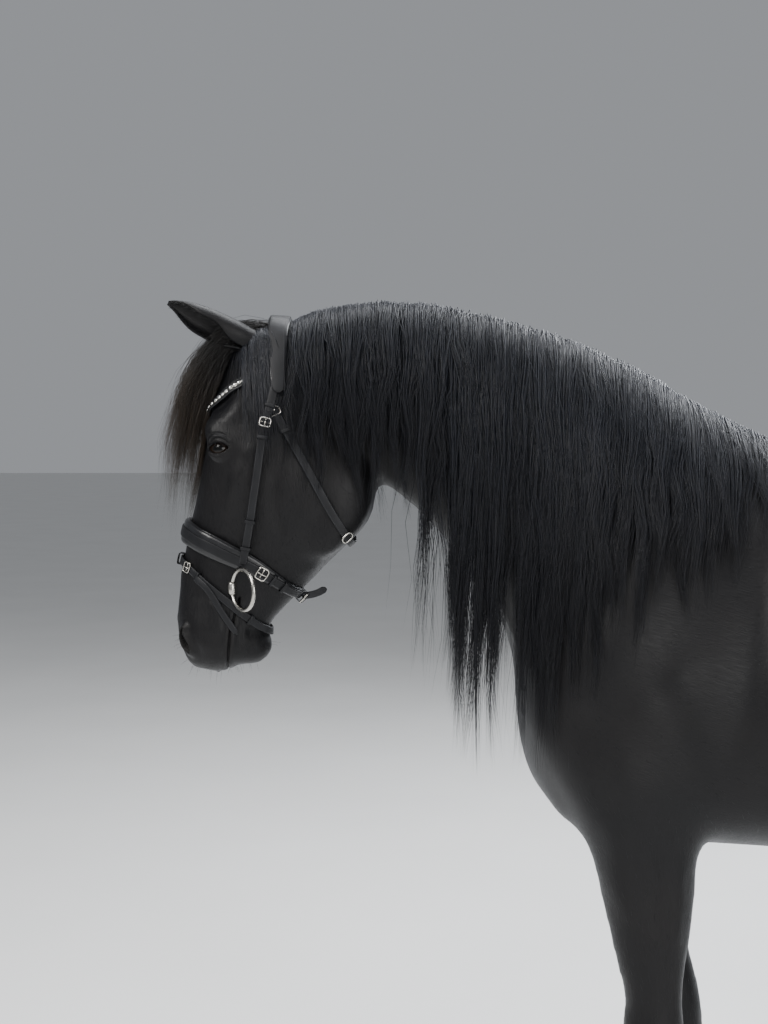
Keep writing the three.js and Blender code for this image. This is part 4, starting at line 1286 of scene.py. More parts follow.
def buildBrowband():
    size = browbandShape
    parts, frames = newParts("strap", "padding", "stones", "fittings", "thread"), strapFrames(size)
    addStrap(parts["strap"], frames, size["wide"], size["thick"], size["low"], crown=0.8)
    middles, across, outward = frames
    for place in (-6.6, 6.6):
        wire(parts["padding"], middles + across * place + outward * 6.6, size["piping"], corners=8)
    length = walked(middles)[-1]
    radius, high = size["stone"]
    for distance in np.arange(size["firstStone"], length - 20, size["stonePitch"]):
        middle, sideways, along, up = at(frames, distance / length)
        matrix = placedBy(middle + up * 8.6, sideways * radius, along * radius, up * high)
        bmesh.ops.create_icosphere(parts["stones"], subdivisions=2, radius=1, matrix=matrix)
        cup = roundedFrame(middle + up * 8.0, sideways, along, 7.4, 7.4, 1.0, 16)
        wire(parts["fittings"], cup, 0.55, closed=True, corners=6)
    stitch(parts["thread"], frames, 4.6, 7.4, 3.4, size=(0.35, 1.2, 0.3))
    finishBridle("browband", parts)


# Wider, thicker and higher over the nose than under the jaw: the middle size and what is added or taken away
nosebandShape = {
    "from": (-812, 1420),
    "to": (-572, 1283),
    "sag": -9,
    "turns": (0, 360),
    "points": 170,
    "bed": 26,
    "wide": (17, 2),
    "thick": 3.0,
    "low": (8.8, 3),
    "padWide": (31, 12),
    "padThick": (7, 3),
    "padLow": 1.5,
    "piping": 1.8,
    "buckle": (-658, 1367),
    "keepers": [(-640, 1352), (-622, 1343)],
    "jawBuckle": (-598, 1312),
}


def buildNoseband():
    size = nosebandShape
    parts, frames = newParts("strap", "padding", "thread", "fittings"), strapFrames(size)

    def swelling(key):
        middle, more = size[key]
        return lambda s: middle + more * math.cos(2 * math.pi * s)

    padSizes = swelling("padWide"), swelling("padThick"), size["padLow"]
    addStrap(parts["padding"], frames, *padSizes, crown=1.6, closed=True)
    addStrap(parts["strap"], frames, swelling("wide"), size["thick"], swelling("low"), closed=True)
    stitch(parts["thread"], opened(frames), 6.4, 12.3, 3.8)
    middles, across, outward = frames
    wave = np.cos(2 * math.pi * (np.arange(len(middles)) / len(middles)))[:, None]
    for side in (-1, 1):
        half = (size["padWide"][0] + size["padWide"][1] * wave) / 2 - 0.6
        edge = middles + across * (side * half) + outward * (4.2 + 1.5 * wave)
        wire(parts["padding"], edge, size["piping"], closed=True, corners=8)
        addBuckle(parts, frames, (*size["buckle"], side), 12, 23, 19, 1.3)
        for place in size["keepers"]:
            addKeeper(parts, frames, (*place, side), 9, 18, 7)
    # Under the jaw: a buckle with the strap's end behind it
    jaw = (*size["jawBuckle"], -1)
    addBuckle(parts, frames, jaw, 13, 22, 17, 1.4)
    addKeeper(parts, frames, jaw, 10, 19, 12, 12)
    middle, _, _, up = at(frames, jaw)
    share = np.linspace(0, 1, 24)[:, None]
    turned = np.array([0.93, 0, 0.36]) * 46 * share + np.array([0.36, 0, -0.93]) * 5 * np.sin(share * 2.6)
    tab = middle + up * 8 + turned
    tab = tab, *framesAlong(tab, np.tile([0.2, -0.9, -0.5], (24, 1)))
    addStrap(parts["strap"], tab, lambda s: 15 - 6 * smooth(s, 0.85, 1), 3.2, 0)
    finishBridle("noseband", parts)


flashShape = {
    "from": (-835, 1380),
    "to": (-648, 1222),
    "sag": 0,
    "turns": (0, 360),
    "points": 130,
    "bed": 13,
    "wide": 14,
    "thick": 3.2,
    "low": 3.2,
    "buckle": (-806, 1350),
    "keepers": [(-790, 1330), (-700, 1255)],
    "looseWide": 12.5,
    "looseThick": 2.6,
    "tightRounds": 60,
}
looseLine = [(-790, 1336), (-766, 1314), (-741, 1274), (-716, 1236)]  # the strap's end, down along the lip


def buildFlash():
    size = flashShape
    parts, frames = newParts("strap", "thread", "fittings"), strapFrames(size)
    addStrap(parts["strap"], frames, size["wide"], size["thick"], size["low"], closed=True)
    stitch(parts["thread"], opened(frames), 5.4, 6.4, 3.6)
    addBuckle(parts, frames, (*size["buckle"], -1), 6.5, 18, 14)
    for place in size["keepers"]:
        addKeeper(parts, frames, (*place, -1), 5, 14, 4.5)
    addKeeper(parts, frames, 0, 5.5, 17, 8, 22)
    line = evenly(looseLine, 40)
    lift = 8 - 4.5 * smooth(np.linspace(0, 1, 40), 0.2, 0.5)
    high = tightOver(line, -1, size["tightRounds"])
    loose = np.stack([line[:, 0], -(high + lift), line[:, 1]], 1)
    loose = loose, *framesAlong(loose, np.tile([-0.25, -1, 0], (40, 1)))
    looseWide = lambda s: size["looseWide"] - 5 * smooth(s, 0.92, 1)
    addStrap(parts["strap"], loose, looseWide, size["looseThick"], 0)
    stitch(parts["thread"], loose, 4.4, 2.6, 3.6, size=(0.4, 1.3, 0.35))
    finishBridle("flash", parts)


cheekShape = {
    "wide": 14.5,
    "thick": 3.4,
    "out": 10,
    "tightRounds": 300,
    "buckle": 1611,
    "keepers": [1640, 1583, 1441, 1392],
}
cheekLine = [(-640, 1690), (-650, 1645), (-662, 1595), (-675, 1510), (-689, 1430), (-703, 1362)]


def buildCheek(sideName):
    side, size = sides[sideName], cheekShape
    parts = newParts("strap", "thread", "fittings")
    line = evenly(cheekLine, 90)
    high = tightOver(line, side, size["tightRounds"])
    middles = np.stack([line[:, 0], side * (high + size["out"]), line[:, 1]], 1)
    frames = middles, *framesAlong(middles, np.tile([0, side, 0], (len(line), 1)))
    addStrap(parts["strap"], frames, size["wide"], size["thick"], 0)
    stitch(parts["thread"], frames, 5.6, 3.4, 3.6)
    spotAt = lambda z: int(np.abs(line[:, 1] - z).argmin()) / (len(line) - 1)
    addBuckle(parts, frames, spotAt(size["buckle"]), 3.6, 19, 15)
    for z in size["keepers"]:
        addKeeper(parts, frames, spotAt(z), 2, 14.5, 5)
    finishBridle(f"cheek_{sideName}", parts)


ringShape = {
    "place": (-702, 88, 1318),
    "radius": 36,
    "wire": 3.6,
    "turn": 52,
    "end": (-729, 50, 1318),
    "sleeve": 11,
}


def buildBit(sideName):
    side, size = sides[sideName], ringShape
    bm = bmesh.new()
    turn = math.radians(size["turn"]) * side
    flat = np.array([math.cos(turn), math.sin(turn), 0])
    place = np.array(mirrored(size["place"], side), float)
    turns = roundTurns(64)
    ring = place + size["radius"] * (np.cos(turns)[:, None] * flat + np.sin(turns)[:, None] * [0, 0, 1])
    wire(bm, ring, size["wire"], closed=True, corners=14)
    hole = ring[(np.abs(ring[:, 2] - size["end"][2]) + 1000 * (ring[:, 0] > place[0])).argmin()]
    sleeve = hole + np.outer(np.linspace(-size["sleeve"], size["sleeve"], 9), [0, 0, 1])
    profiles = [roundProfile(6.2 + 1.6 * math.cos(t * math.pi / 2), 14) for t in np.linspace(-1, 1, 9)]
    sweep(bm, sleeve, *framesAlong(sleeve, np.tile([1.0, 0, 0], (9, 1))), profiles)
    end = np.array(mirrored(size["end"], side), float)
    inner = np.array([end[0], end[1] * 0.3, end[2]])
    bar = np.array([hole + (inner - hole) * t for t in np.linspace(0, 1, 10)])
    profiles = [roundProfile(radius, 14) for radius in np.linspace(6, 8.5, 10)]
    sweep(bm, bar, *framesAlong(bar, np.tile([0, 0, 1.0], (10, 1))), profiles)
    bmesh.ops.recalc_face_normals(bm, faces=bm.faces)
    addPiece(f"bit_{sideName}", meshFrom(bm), steel, "steel", [f"bit_ring_{sideName}"])


buildCrown()
buildThroatlatch()
buildBrowband()
buildNoseband()
buildFlash()
for sideName in sides:
    buildCheek(sideName)
    buildBit(sideName)
print("ears and bridle")


# Hair. Every strand is a thin tapering rod with three sides, and has its own small patch on the map
# Paths: strands by points by place. Roots: where the patches lie on the map
patchSize = 0.003


def strandMesh(paths, widths, facing, roots, tones, flat=0.6, tip=0.12):
    count, steps = paths.shape[:2]
    tangent = unit(np.gradient(paths, axis=1))
    side = unit(np.cross(tangent, facing))
    up = np.cross(side, tangent)
    share = np.linspace(0, 1, steps)
    taper = np.clip(1 - share**1.6, tip, 1) * (0.65 + 0.35 * smooth(share, 0, 0.2))
    radii = widths[:, None] * taper[None, :-1]
    turns = np.radians([90, 210, 330])[:, None]
    section = side[:, :-1, None] * np.cos(turns) + up[:, :-1, None] * flat * np.sin(turns)
    rings = paths[:, :-1, None] + radii[:, :, None, None] * section
    perStrand = (steps - 1) * 3 + 1
    points = np.concatenate([rings.reshape(count, -1, 3), paths[:, -1:]], axis=1).reshape(-1, 3)
    quads = []
    for row in range(steps - 2):
        for corner in range(3):
            after = (corner + 1) % 3
            quads.append((row * 3 + corner, row * 3 + after, row * 3 + 3 + after, row * 3 + 3 + corner))
    last = (steps - 2) * 3
    fans = [(last + corner, last + (corner + 1) % 3, perStrand - 1) for corner in range(3)]
    loops = np.concatenate([np.array(quads).ravel(), np.array(fans).ravel()])
    sizes = np.tile([4] * len(quads) + [3] * len(fans), count)
    starts = np.arange(count) * perStrand
    mesh = bpy.data.meshes.new("strands")
    mesh.vertices.add(len(points))
    mesh.vertices.foreach_set("co", points.astype(np.float32).ravel())
    mesh.loops.add(count * len(loops))
    mesh.loops.foreach_set("vertex_index", (starts[:, None] + loops[None]).ravel().astype(np.int32))
    mesh.polygons.add(len(sizes))
    mesh.polygons.foreach_set("loop_start", np.concatenate([[0], sizes.cumsum()[:-1]]).astype(np.int32))
    mesh.polygons.foreach_set("loop_total", sizes.astype(np.int32))
    mesh.update(calc_edges=True)
    along = np.concatenate([np.repeat(share[:-1], 3), [1.0]])
    addAttribute(mesh, "along", np.tile(along, count))
    addAttribute(mesh, "tone", np.repeat(tones, perStrand))
    spots = np.concatenate([np.tile([0.0, 0.5, 1.0], steps - 1), [0.5]])
    local = (np.stack([spots, along], 1) - 0.5) * patchSize
    patch = np.clip(roots, 0.002, 0.998)[:, None] + local[loops][None]
    mesh.uv_layers.new(name="OFBake").data.foreach_set("uv", patch.ravel().astype(np.float32))
    return mesh


def addHair(name, mesh, material, smoothed=True):
    mesh.validate()
    addPiece(name, mesh, material, "coat", smoothed=smoothed)


# How far the body reaches to each side, over the side view
fieldSizes = {"fromX": -880, "toX": 320, "fromZ": 900, "toZ": 1860, "step": 12}


def bodyWidths(side):
    size = fieldSizes
    xs = np.arange(size["fromX"], size["toX"] + 1, size["step"])
    zs = np.arange(size["fromZ"], size["toZ"] + 1, size["step"])
    field = np.zeros((len(xs), len(zs)))
    for i, x in enumerate(xs):
        for j, z in enumerate(zs):
            place, _ = skin.side(float(x), float(z), side)
            if place:
                field[i, j] = abs(place.y)
    return field


widthFields = {side: bodyWidths(side) for side in (-1, 1)}


def widthAt(side, x, z):
    size, field = fieldSizes, widthFields[side]
    i = np.clip((x - size["fromX"]) / size["step"], 0, field.shape[0] - 1.001)
    j = np.clip((z - size["fromZ"]) / size["step"], 0, field.shape[1] - 1.001)
    a, b = i.astype(int), j.astype(int)
    u, v = i - a, j - b
    low = field[a, b] * (1 - u) + field[a + 1, b] * u
    high = field[a, b + 1] * (1 - u) + field[a + 1, b + 1] * u
    return low * (1 - v) + high * v


crest = splineAt(trunkRows, np.linspace(0.15, 1, 200))[:, :2]
crest = crest[np.argsort(crest[:, 0])]


def crestHeight(x):
    return np.interp(x, crest[:, 0], crest[:, 1])


# Mane. Along the crest: place, length of the hair
maneLengths = np.array([
    (-640, 270), (-607, 330), (-560, 375), (-516, 395), (-470, 415), (-426, 425),
    (-395, 440), (-372, 480), (-352, 600), (-325, 780), (-209, 800), (-137, 740),
    (-52, 560), (69, 420), (181, 280), (240, 150),
])
maneShape = {
    "from": -640,
    "length": 880,
    "steps": 8,
    "locks": {-1: 96, 1: 66},
    "strands": {-1: 10400, 1: 5600},
    "round": 24,
    "strap": -644,  # the crown strap holds the hair flat here
}


def buildMane(side):
    size = maneShape
    locks, count, steps = size["locks"][side], size["strands"][side], size["steps"]
    order = np.arange(locks) + rand.uniform(0.1, 0.9, locks)
    lockX = np.sort(size["from"] + size["length"] * order / locks)
    usualLength = np.interp(lockX, maneLengths[:, 0], maneLengths[:, 1])
    lockLength = usualLength * rand.uniform(0.82, 1.08, locks)
    if side > 0:
        lockLength *= 0.85
    lockLift = rand.uniform(2, 26, locks)
    lockPhase = rand.uniform(0, 2 * math.pi, locks)
    lockWave = rand.uniform(4, 11, locks)
    lockPitch = rand.uniform(120, 200, locks)
    lockLean = np.where(lockX > -60, -0.1, np.where(lockX > -312, -0.04, 0.02)) + rand.normal(0, 0.035, locks)
    weights = usualLength**0.7 * (1 - 0.75 * smooth(lockX, 130, 240))
    owner = rand.choice(locks, count, p=weights / weights.sum())
    loose = rand.random(count) < 0.07
    spreadX = rand.normal(0, 11, count) * (1 + 1.4 * smooth(lockX[owner], 150, 240))
    spreadLift = rand.uniform(0, 14, count)
    rootX = np.clip(lockX[owner] + spreadX * 1.3, -655, 262)
    length = lockLength[owner] * rand.uniform(0.6, 1.04, count) ** 0.7
    length *= np.where(rand.random(count) < 0.12, rand.uniform(0.35, 0.7, count), 1)
    sparse = (rootX > -392) & (rootX < -345) & (rand.random(count) < 0.1)
    length = np.where(sparse, rand.uniform(560, 730, count), length)
    length *= 1 - 0.5 * smooth(rootX, 190, 262) * rand.random(count)
    share = np.linspace(0, 1, steps)[None] ** 1.15
    along = share * length[:, None]
    radius = size["round"] + lockLift[owner] * 0.6 + spreadLift * 0.5
    swing = np.minimum(along / (radius * 1.35)[:, None], math.pi / 2)
    straight = np.maximum(0, along - (radius * 1.35)[:, None] * math.pi / 2)
    gather = 1 - 0.8 * smooth(share, 0.12, 0.9) * np.where(loose, 0.1, 1)[:, None]
    pitch, phase = lockPitch[owner, None], lockPhase[owner, None]
    wave = lockWave[owner, None] * smooth(share, 0.1, 0.7) * np.sin(2 * math.pi * along / pitch + phase)
    stray = np.where(loose, rand.normal(0, 16, count), rand.normal(0, 2.2, count))[:, None] * share
    x = lockX[owner, None] + (rootX - lockX[owner])[:, None] * gather
    x = x + lockLean[owner, None] * along + wave + stray
    top = crestHeight(rootX)[:, None] - 2
    rootY = rand.uniform(-23, 10, count)
    over = (2.5 + 0.2 * lockLift[owner] + rand.uniform(0, 3, count))[:, None] * np.minimum(1, along / 14)
    z = top + over + radius[:, None] * (np.cos(swing) - 1) - straight
    y = rootY[:, None] * (1 - swing / (math.pi / 2)) + radius[:, None] * np.sin(swing)
    lift = (3 + lockLift[owner] + spreadLift)[:, None] * (0.25 + 0.75 * smooth(share, 0, 0.3))
    lift *= 1 - 0.45 * smooth(share, 0.4, 1)
    bulge = 5 * np.sin(2 * math.pi * along / (pitch * 1.2) + phase * 1.7) * smooth(share, 0.15, 0.6)
    surface = widthAt(side, x, z)
    lift = np.where(np.abs(x - size["strap"]) < 30, np.minimum(lift, 7), lift)
    hold = smooth(along, 8, 46)
    y = np.maximum(y, (surface + lift + bulge) * hold)
    for step in range(1, steps):
        y[:, step] = np.maximum(y[:, step], y[:, step - 1] - 3.5)
    for _ in range(2):
        evened = (y[:, :-2] + 2 * y[:, 1:-1] + y[:, 2:]) / 4
        y[:, 1:-1] = np.maximum((surface[:, 1:-1] + 2) * hold[:, 1:-1], evened)
    paths = np.stack([x, side * y, z], 2)
    facing = np.tile([0, side, 0.15], (count, steps, 1))
    roots = np.stack([(rootX + 660) / 930, 0.5 + 0.45 * side * rand.random(count)], 1)
    return paths, rand.uniform(0.6, 1.25, count), facing, roots, rand.random(count)


mostStrands = 4400  # in one piece


def inParts(data, most):
    count = len(data[0])
    pieces = math.ceil(count / most)
    for part in range(pieces):
        yield part + 1, tuple(values[part::pieces] for values in data)


for sideName, side in sides.items():
    for part, data in inParts(buildMane(side), mostStrands):
        addHair(f"mane_{sideName}_{part}", strandMesh(*data), maneHair)
print("mane")


# Forelock, each strand a cubic Bezier from its root, and the tufts at the poll
def bezier(corners, steps):
    t = np.linspace(0, 1, steps)[None, :, None]
    a, b, c, d = (corners[:, k][:, None] for k in range(4))
    return a * (1 - t) ** 3 + 3 * b * t * (1 - t) ** 2 + 3 * c * t * t * (1 - t) + d * t**3


forelockShape = {
    "locks": 38,
    "strands": 2900,
    "steps": 8,
    "spread": [[9, 8, 3], [9, 10, 7], [10, 10, 12], [6, 6, 26]],  # of the four corners of a strand's line
}


def buildForelock():
    size = forelockShape
    locks, count, steps = size["locks"], size["strands"], size["steps"]
    across = np.linspace(-1, 1, locks)[rand.permutation(locks)] + rand.normal(0, 0.05, locks)
    depth = np.linspace(0, 1, locks)  # from the poll, 0, down to the forehead
    tipX = -842 + 58 * depth + rand.normal(0, 7, locks)
    tipZ = rand.uniform(1430, 1560, locks) + 40 * np.abs(across)
    guides = np.stack([
        np.stack([-664 - 58 * depth, 36 * across, 1790 - 42 * depth - 8 * np.abs(across)], 1),
        np.stack([-742 + 8 * depth, 44 * across, 1806 - 66 * depth], 1),
        np.stack([-838 + 84 * depth, 62 * across, 1712 - 14 * depth], 1),
        np.stack([tipX, 55 * across + rand.normal(0, 8, locks), tipZ], 1),
    ], axis=1)
    owner = rand.integers(0, locks, count)
    loose = rand.random(count) < 0.14
    spread = np.clip(rand.normal(0, 1, (count, 4, 3)), -2.2, 2.2) * size["spread"]
    spread[loose] *= 2.0
    paths = bezier(guides[owner] + spread, steps)
    share = np.linspace(0, 1, steps)[None]
    phase = rand.uniform(0, 2 * math.pi, locks)[owner, None]
    paths[:, :, 0] += 5 * share * np.sin(10 * share + phase)
    paths[:, :, 1] += 6 * share * np.sin(9 * share + phase * 1.7)
    keepOff(paths, 2 + 9 * rand.random(count))
    facing = np.tile([-1.0, 0, 0.2], (count, steps, 1))
    down = 0.06 + 0.8 * depth[owner] + 0.06 * rand.random(count)
    roots = np.stack([0.5 + 0.42 * np.clip(across[owner], -1, 1), down], 1)
    return paths, rand.uniform(0.42, 0.85, count), facing, roots, rand.random(count)


def keepOff(paths, lifts):  # moves points that are too near the skin, or inside it, out to the lift
    for path, lift in zip(paths, lifts):
        for index in range(1, len(path)):
            point = Vector(path[index])
            place, normal, _, gap = skin.tree.find_nearest(point)
            if gap < lift or (point - place).dot(normal) < 0:
                path[index] = place + normal * lift


pollShape = {"strands": 1250, "steps": 7}


def buildPoll(side):  # hair between the ear and the crown of the bridle, some of it over the straps
    count, steps = pollShape["strands"], pollShape["steps"]
    over = rand.random(count) < 0.3
    rootX = np.where(over, rand.uniform(-712, -662, count), rand.uniform(-712, -590, count))
    length = np.where(rootX > -655, rand.uniform(130, 270, count), rand.uniform(60, 175, count))
    length = np.where(over, rand.uniform(110, 290, count), length)
    clump = 16 * np.sin(rootX * 0.35)
    share = np.linspace(0, 1, steps)[None]
    along = share * length[:, None]
    stray = rand.normal(0, 7, count) + clump * over
    x = rootX[:, None] + np.where(over, 0.1, -0.1)[:, None] * along + stray[:, None] * share
    swing = np.minimum(along / 42, math.pi / 2)
    z = crestHeight(rootX)[:, None] - 6 + 30 * (np.cos(swing) - 0.8) - np.maximum(0, along - 66)
    underStrap = np.abs(x - maneShape["strap"]) < 32
    under = np.where(underStrap, 4, rand.uniform(2, 14, count)[:, None])
    lift = np.where(over[:, None], 19 + 4 * np.sin(along / 30), under) * smooth(share, 0, 0.2)
    y = np.maximum(4 + 34 * np.sin(swing), widthAt(side, x, z) + lift)
    y = np.maximum.accumulate(y - 2.5 * np.arange(steps), 1) + 2.5 * np.arange(steps) * 0.6
    paths = np.stack([x, side * y, z], 2)
    facing = np.tile([0, side, 0.15], (count, steps, 1))
    roots = np.stack([(rootX + 720) / 140, 0.5 + 0.45 * side * rand.random(count)], 1)
    return paths, rand.uniform(0.5, 1.0, count), facing, roots, rand.random(count)


addHair("forelock", strandMesh(*buildForelock()), foreHair)
for sideName, side in sides.items():
    addHair(f"poll_hair_{sideName}", strandMesh(*buildPoll(side)), maneHair)
print("forelock")


# Tail: from all round the dock, falling close to the ground
tailShape = {
    "steps": 9,
    "locks": 96,
    "strands": 5500,
    "spread": [[8, 10, 5], [6, 8, 9], [13, 16, 8], [15, 18, 20], [10, 12, 52]],  # at its five knots
    "knots": [0, 0.05, 0.28, 0.62, 1.0],
    "lowest": 46,
    "farthest": 1468,
}


def buildTail():
    size = tailShape
    locks, count, steps = size["locks"], size["strands"], size["steps"]
    down = np.sort(rand.uniform(0.1, 0.98, locks) ** 1.5)
    rows = splineAt(dockRows, down)
    turn = rand.uniform(-1, 1, locks) * math.pi
    top, low, half = rows[:, :2], rows[:, 2:4], rows[:, 4]
    middle = (top + low) / 2
    reach = np.linalg.norm(top - low, axis=1) / 2
    out = unit(top - low)
    back, beside = np.cos(turn), np.sin(turn)
    rootX, rootZ = (middle + out * reach[:, None] * back[:, None]).T
    root = np.stack([rootX, half * beside, rootZ], 1)
    tipZ = rand.uniform(62, 210, locks) + 120 * (rand.random(locks) < 0.2)
    width = rand.uniform(0.35, 1, locks)
    belly = np.stack([1394 + 50 * back * width, 92 * beside * width, np.full(locks, 560)], 1)
    tipX = 1390 + 40 * back * width + rand.normal(0, 10, locks)
    tip = np.stack([tipX, 78 * beside * width + rand.normal(0, 12, locks), tipZ], 1)
    shoulder = root + np.stack([16 + 12 * back, 14 * beside, -14 - 50 * down], 1)
    high = np.stack([1402 + 38 * back, 74 * beside, np.minimum(1150, rootZ - 160)], 1)
    guides = np.stack([root, shoulder, high, belly, tip], 1)
    owner = rand.integers(0, locks, count)
    loose = rand.random(count) < 0.07
    spread = np.clip(rand.normal(0, 1, (count, 5, 3)), -2, 2) * size["spread"]
    spread[:, 1] = spread[:, 0] + rand.normal(0, 1.2, (count, 3))
    spread[loose, 3:] *= 1.5
    controls = guides[owner] + spread
    controls[:, 4, 2] = np.maximum(controls[:, 4, 2], size["lowest"])
    share = np.linspace(0, 1, steps) ** 1.7
    paths = np.stack([naturalLine(np.array(size["knots"]), controls[:, :, k], share) for k in range(3)], 2)
    phase = rand.uniform(0, 2 * math.pi, locks)[owner, None]
    paths[:, :, 0] += 6 * share * np.sin(11 * share[None] + phase)
    paths[:, :, 1] += 6 * share * np.sin(10 * share[None] + phase * 1.6)
    paths[:, :, 0] = np.minimum(paths[:, :, 0], size["farthest"])
    facing = unit((paths - [1392, 0, 0]) * [1, 1, 0] + [1e-3, 0, 0])  # away from the middle of the tail
    lower = 0.05 + 0.9 * down[owner] + rand.uniform(0, 0.02, count)
    roots = np.stack([0.5 + turn[owner] / (2 * math.pi) * 0.95, lower], 1)
    return paths, rand.uniform(0.85, 1.7, count), facing, roots, rand.random(count)


def naturalLine(knots, values, at):  # a Catmull-Rom line through uneven knots
    slopes = np.empty_like(values)
    gaps = np.diff(knots)
    steps = np.diff(values, axis=1) / gaps
    slopes[:, 1:-1] = (steps[:, :-1] * gaps[1:] + steps[:, 1:] * gaps[:-1]) / (gaps[1:] + gaps[:-1])
    slopes[:, 0], slopes[:, -1] = steps[:, 0], steps[:, -1]
    piece = np.clip(np.searchsorted(knots, at, side="right") - 1, 0, len(gaps) - 1)
    t = (at - knots[piece]) / gaps[piece]
    a, b = values[:, piece], values[:, piece + 1]
    m, n = slopes[:, piece] * gaps[piece], slopes[:, piece + 1] * gaps[piece]
    leaving = a * (2 * t**3 - 3 * t**2 + 1) + m * (t**3 - 2 * t**2 + t)
    return leaving + b * (3 * t**2 - 2 * t**3) + n * (t**3 - t**2)


for part, data in inParts(buildTail(), mostStrands):
    addHair(f"tail_hair_{part}", strandMesh(*data), maneHair)
print("tail")


# Feather: from the back and sides of the lower legs, down over the hooves
featherShape = {"steps": 6, "strands": 1750}


def buildFeather(kind, side):
    count, steps = featherShape["strands"], featherShape["steps"]
    crown = rand.random(count) < 0.24
    height = np.where(crown, rand.uniform(97, 116, count), 112 + 280 * rand.random(count) ** 1.9)
    turn = np.radians(rand.normal(0, 1, count) * 46)
    turn = np.clip(turn, -2.5, 2.5) * (0.6 + 0.8 * (1 - smooth(height, 110, 280)))
    turn = np.where(crown, rand.uniform(-math.pi, math.pi, count), turn)
    table = np.array(legTable(kind, side), float)
    order = np.argsort(table[:, 1])
    middleX = np.interp(height, table[order, 1], (table[order, 0] + table[order, 2]) / 2)
    middleY = np.interp(height, table[order, 1], table[order, 8])
    out = np.stack([np.cos(turn), np.sin(turn), 0 * turn], 1)
    paths = np.empty((count, steps, 3))
    share = np.linspace(0, 1, steps)
    length = np.minimum(height - rand.uniform(16, 50, count), rand.uniform(70, 165, count))
    length = np.where(crown, rand.uniform(20, 44, count), length)
    crownFlare = rand.uniform(4, 9, count)
    flare = rand.uniform(8, 40, count) * (0.5 + 0.5 * np.cos(turn / 2))
    flare = np.where(crown, crownFlare, flare)
    clump = np.round(turn / 0.24) * 0.24
    for i in range(count):
        inside = np.array([middleX[i], middleY[i], height[i]])
        place, _ = skin.away(inside, out[i])
        start = np.array(place) if place else inside + out[i] * 40
        drift = out[i] + np.array([0, (clump[i] - turn[i]) * 0.6, 0])
        paths[i] = start + drift * (flare[i] * share[:, None] ** 0.65)
        paths[i, :, 2] -= length[i] * share**1.08
    # Out over the hoof
    hoofX = legKinds[kind]["hoofX"] + float(slideOf(kind, side, 0))
    hoofMiddle = np.array([hoofX, legKinds[kind]["hoofY"] * side])
    low = paths[:, :, 2]
    sink = np.clip(1 - low / 98, 0, 1)
    centre = hoofMiddle + np.stack([-2 - 32 * sink, 0 * sink], 2)
    away = paths[:, :, :2] - centre
    distance = np.linalg.norm(away, axis=2)
    least = (56.5 + 15.5 * sink) * (low < 104)
    push = np.maximum(1, least / np.maximum(distance, 1e-3))
    paths[:, :, :2] = centre + away * push[:, :, None]
    paths[:, :, 0] += rand.normal(0, 3, (count, 1)) * share
    facing = np.repeat(out[:, None], steps, 1)
    index = (kind == "hind") * 2 + (side > 0)
    roots = np.stack([(index + 0.5 + np.clip(turn, -2.9, 2.9) / (2 * math.pi)) / 4, (height - 90) / 330], 1)
    return paths, rand.uniform(0.65, 1.25, count), facing, roots, rand.random(count)


for kind in legKinds:
    for sideName, side in sides.items():
        addHair(f"feather_{kind}_{sideName}", strandMesh(*buildFeather(kind, side)), maneHair)
print("feather")


# Short coat: small tufts that lie along the skin, smallest on the face and closest together on the legs
def scatter(mesh, count, weightOf):
    mesh.calc_loop_triangles()
    points = coordinates(mesh)
    corners = np.empty(len(mesh.loop_triangles) * 3, np.int32)
    mesh.loop_triangles.foreach_get("vertices", corners)
    triangles = points[corners.reshape(-1, 3)]
    cross = np.cross(triangles[:, 1] - triangles[:, 0], triangles[:, 2] - triangles[:, 0])
    area = np.linalg.norm(cross, axis=1)
    weight = area * weightOf(triangles.mean(1), corners.reshape(-1, 3))
    chosen = rand.choice(len(area), count, p=weight / weight.sum())
    a, b = rand.random((2, count, 1))
    fold = a + b > 1
    a, b = np.where(fold, 1 - a, a), np.where(fold, 1 - b, b)
    corner = triangles[chosen]
    places = corner[:, 0] + (corner[:, 1] - corner[:, 0]) * a + (corner[:, 2] - corner[:, 0]) * b
    return places, unit(cross[chosen])


def flow(points):  # the way the coat lies
    x, z = points[:, 0], points[:, 2]
    leg = 1 - smooth(z, 880, 1080)
    head = 1 - smooth(x + 0.5 * (z - 1500), -640, -480)
    neck = (1 - smooth(x, -180, 120)) * (1 - head)
    body = 1 - np.maximum(np.maximum(leg, head), neck)
    parts = ((leg, (0.12, 0, -1)), (head, (0.1, 0, -1)), (neck, (0.75, 0, -0.8)), (body, (1, 0, -0.55)))
    return unit(sum(share[:, None] * np.array(way) for share, way in parts) + [0, 0, -1e-3])


def tuftPaths(places, normals, lengths, lift):
    way = flow(places) + rand.normal(0, 0.16, (len(places), 3))
    way = unit(way - normals * (way * normals).sum(1)[:, None])
    share = np.linspace(0, 1, 3)[None, :, None]
    rise = lift[:, None, None] * (np.sin(share * math.pi * 0.8) + 0.2 * share) - 0.25
    return places[:, None] + way[:, None] * lengths[:, None, None] * share + normals[:, None] * rise


def trunkPlace(places):  # along the body and round it, as on an unrolled skin
    x, y, z = places.T
    onLeg = 0.02 + 0.2 * z / 900 + 0.3 * (y > 0)
    v = np.where(z < 900, onLeg, 0.5 + np.arctan2(y, z - 1200) / (2 * math.pi))
    return np.stack([(x + 860) / 2300, v], 1)


def headPlace(places):
    x, y, z = places.T
    along = (1790 - z) / 640
    middle = -620 - 130 * np.clip(along, 0, 1)
    return np.stack([0.02 + 0.96 * along, 0.5 + np.arctan2(y, middle - x) / (2.02 * math.pi)], 1)


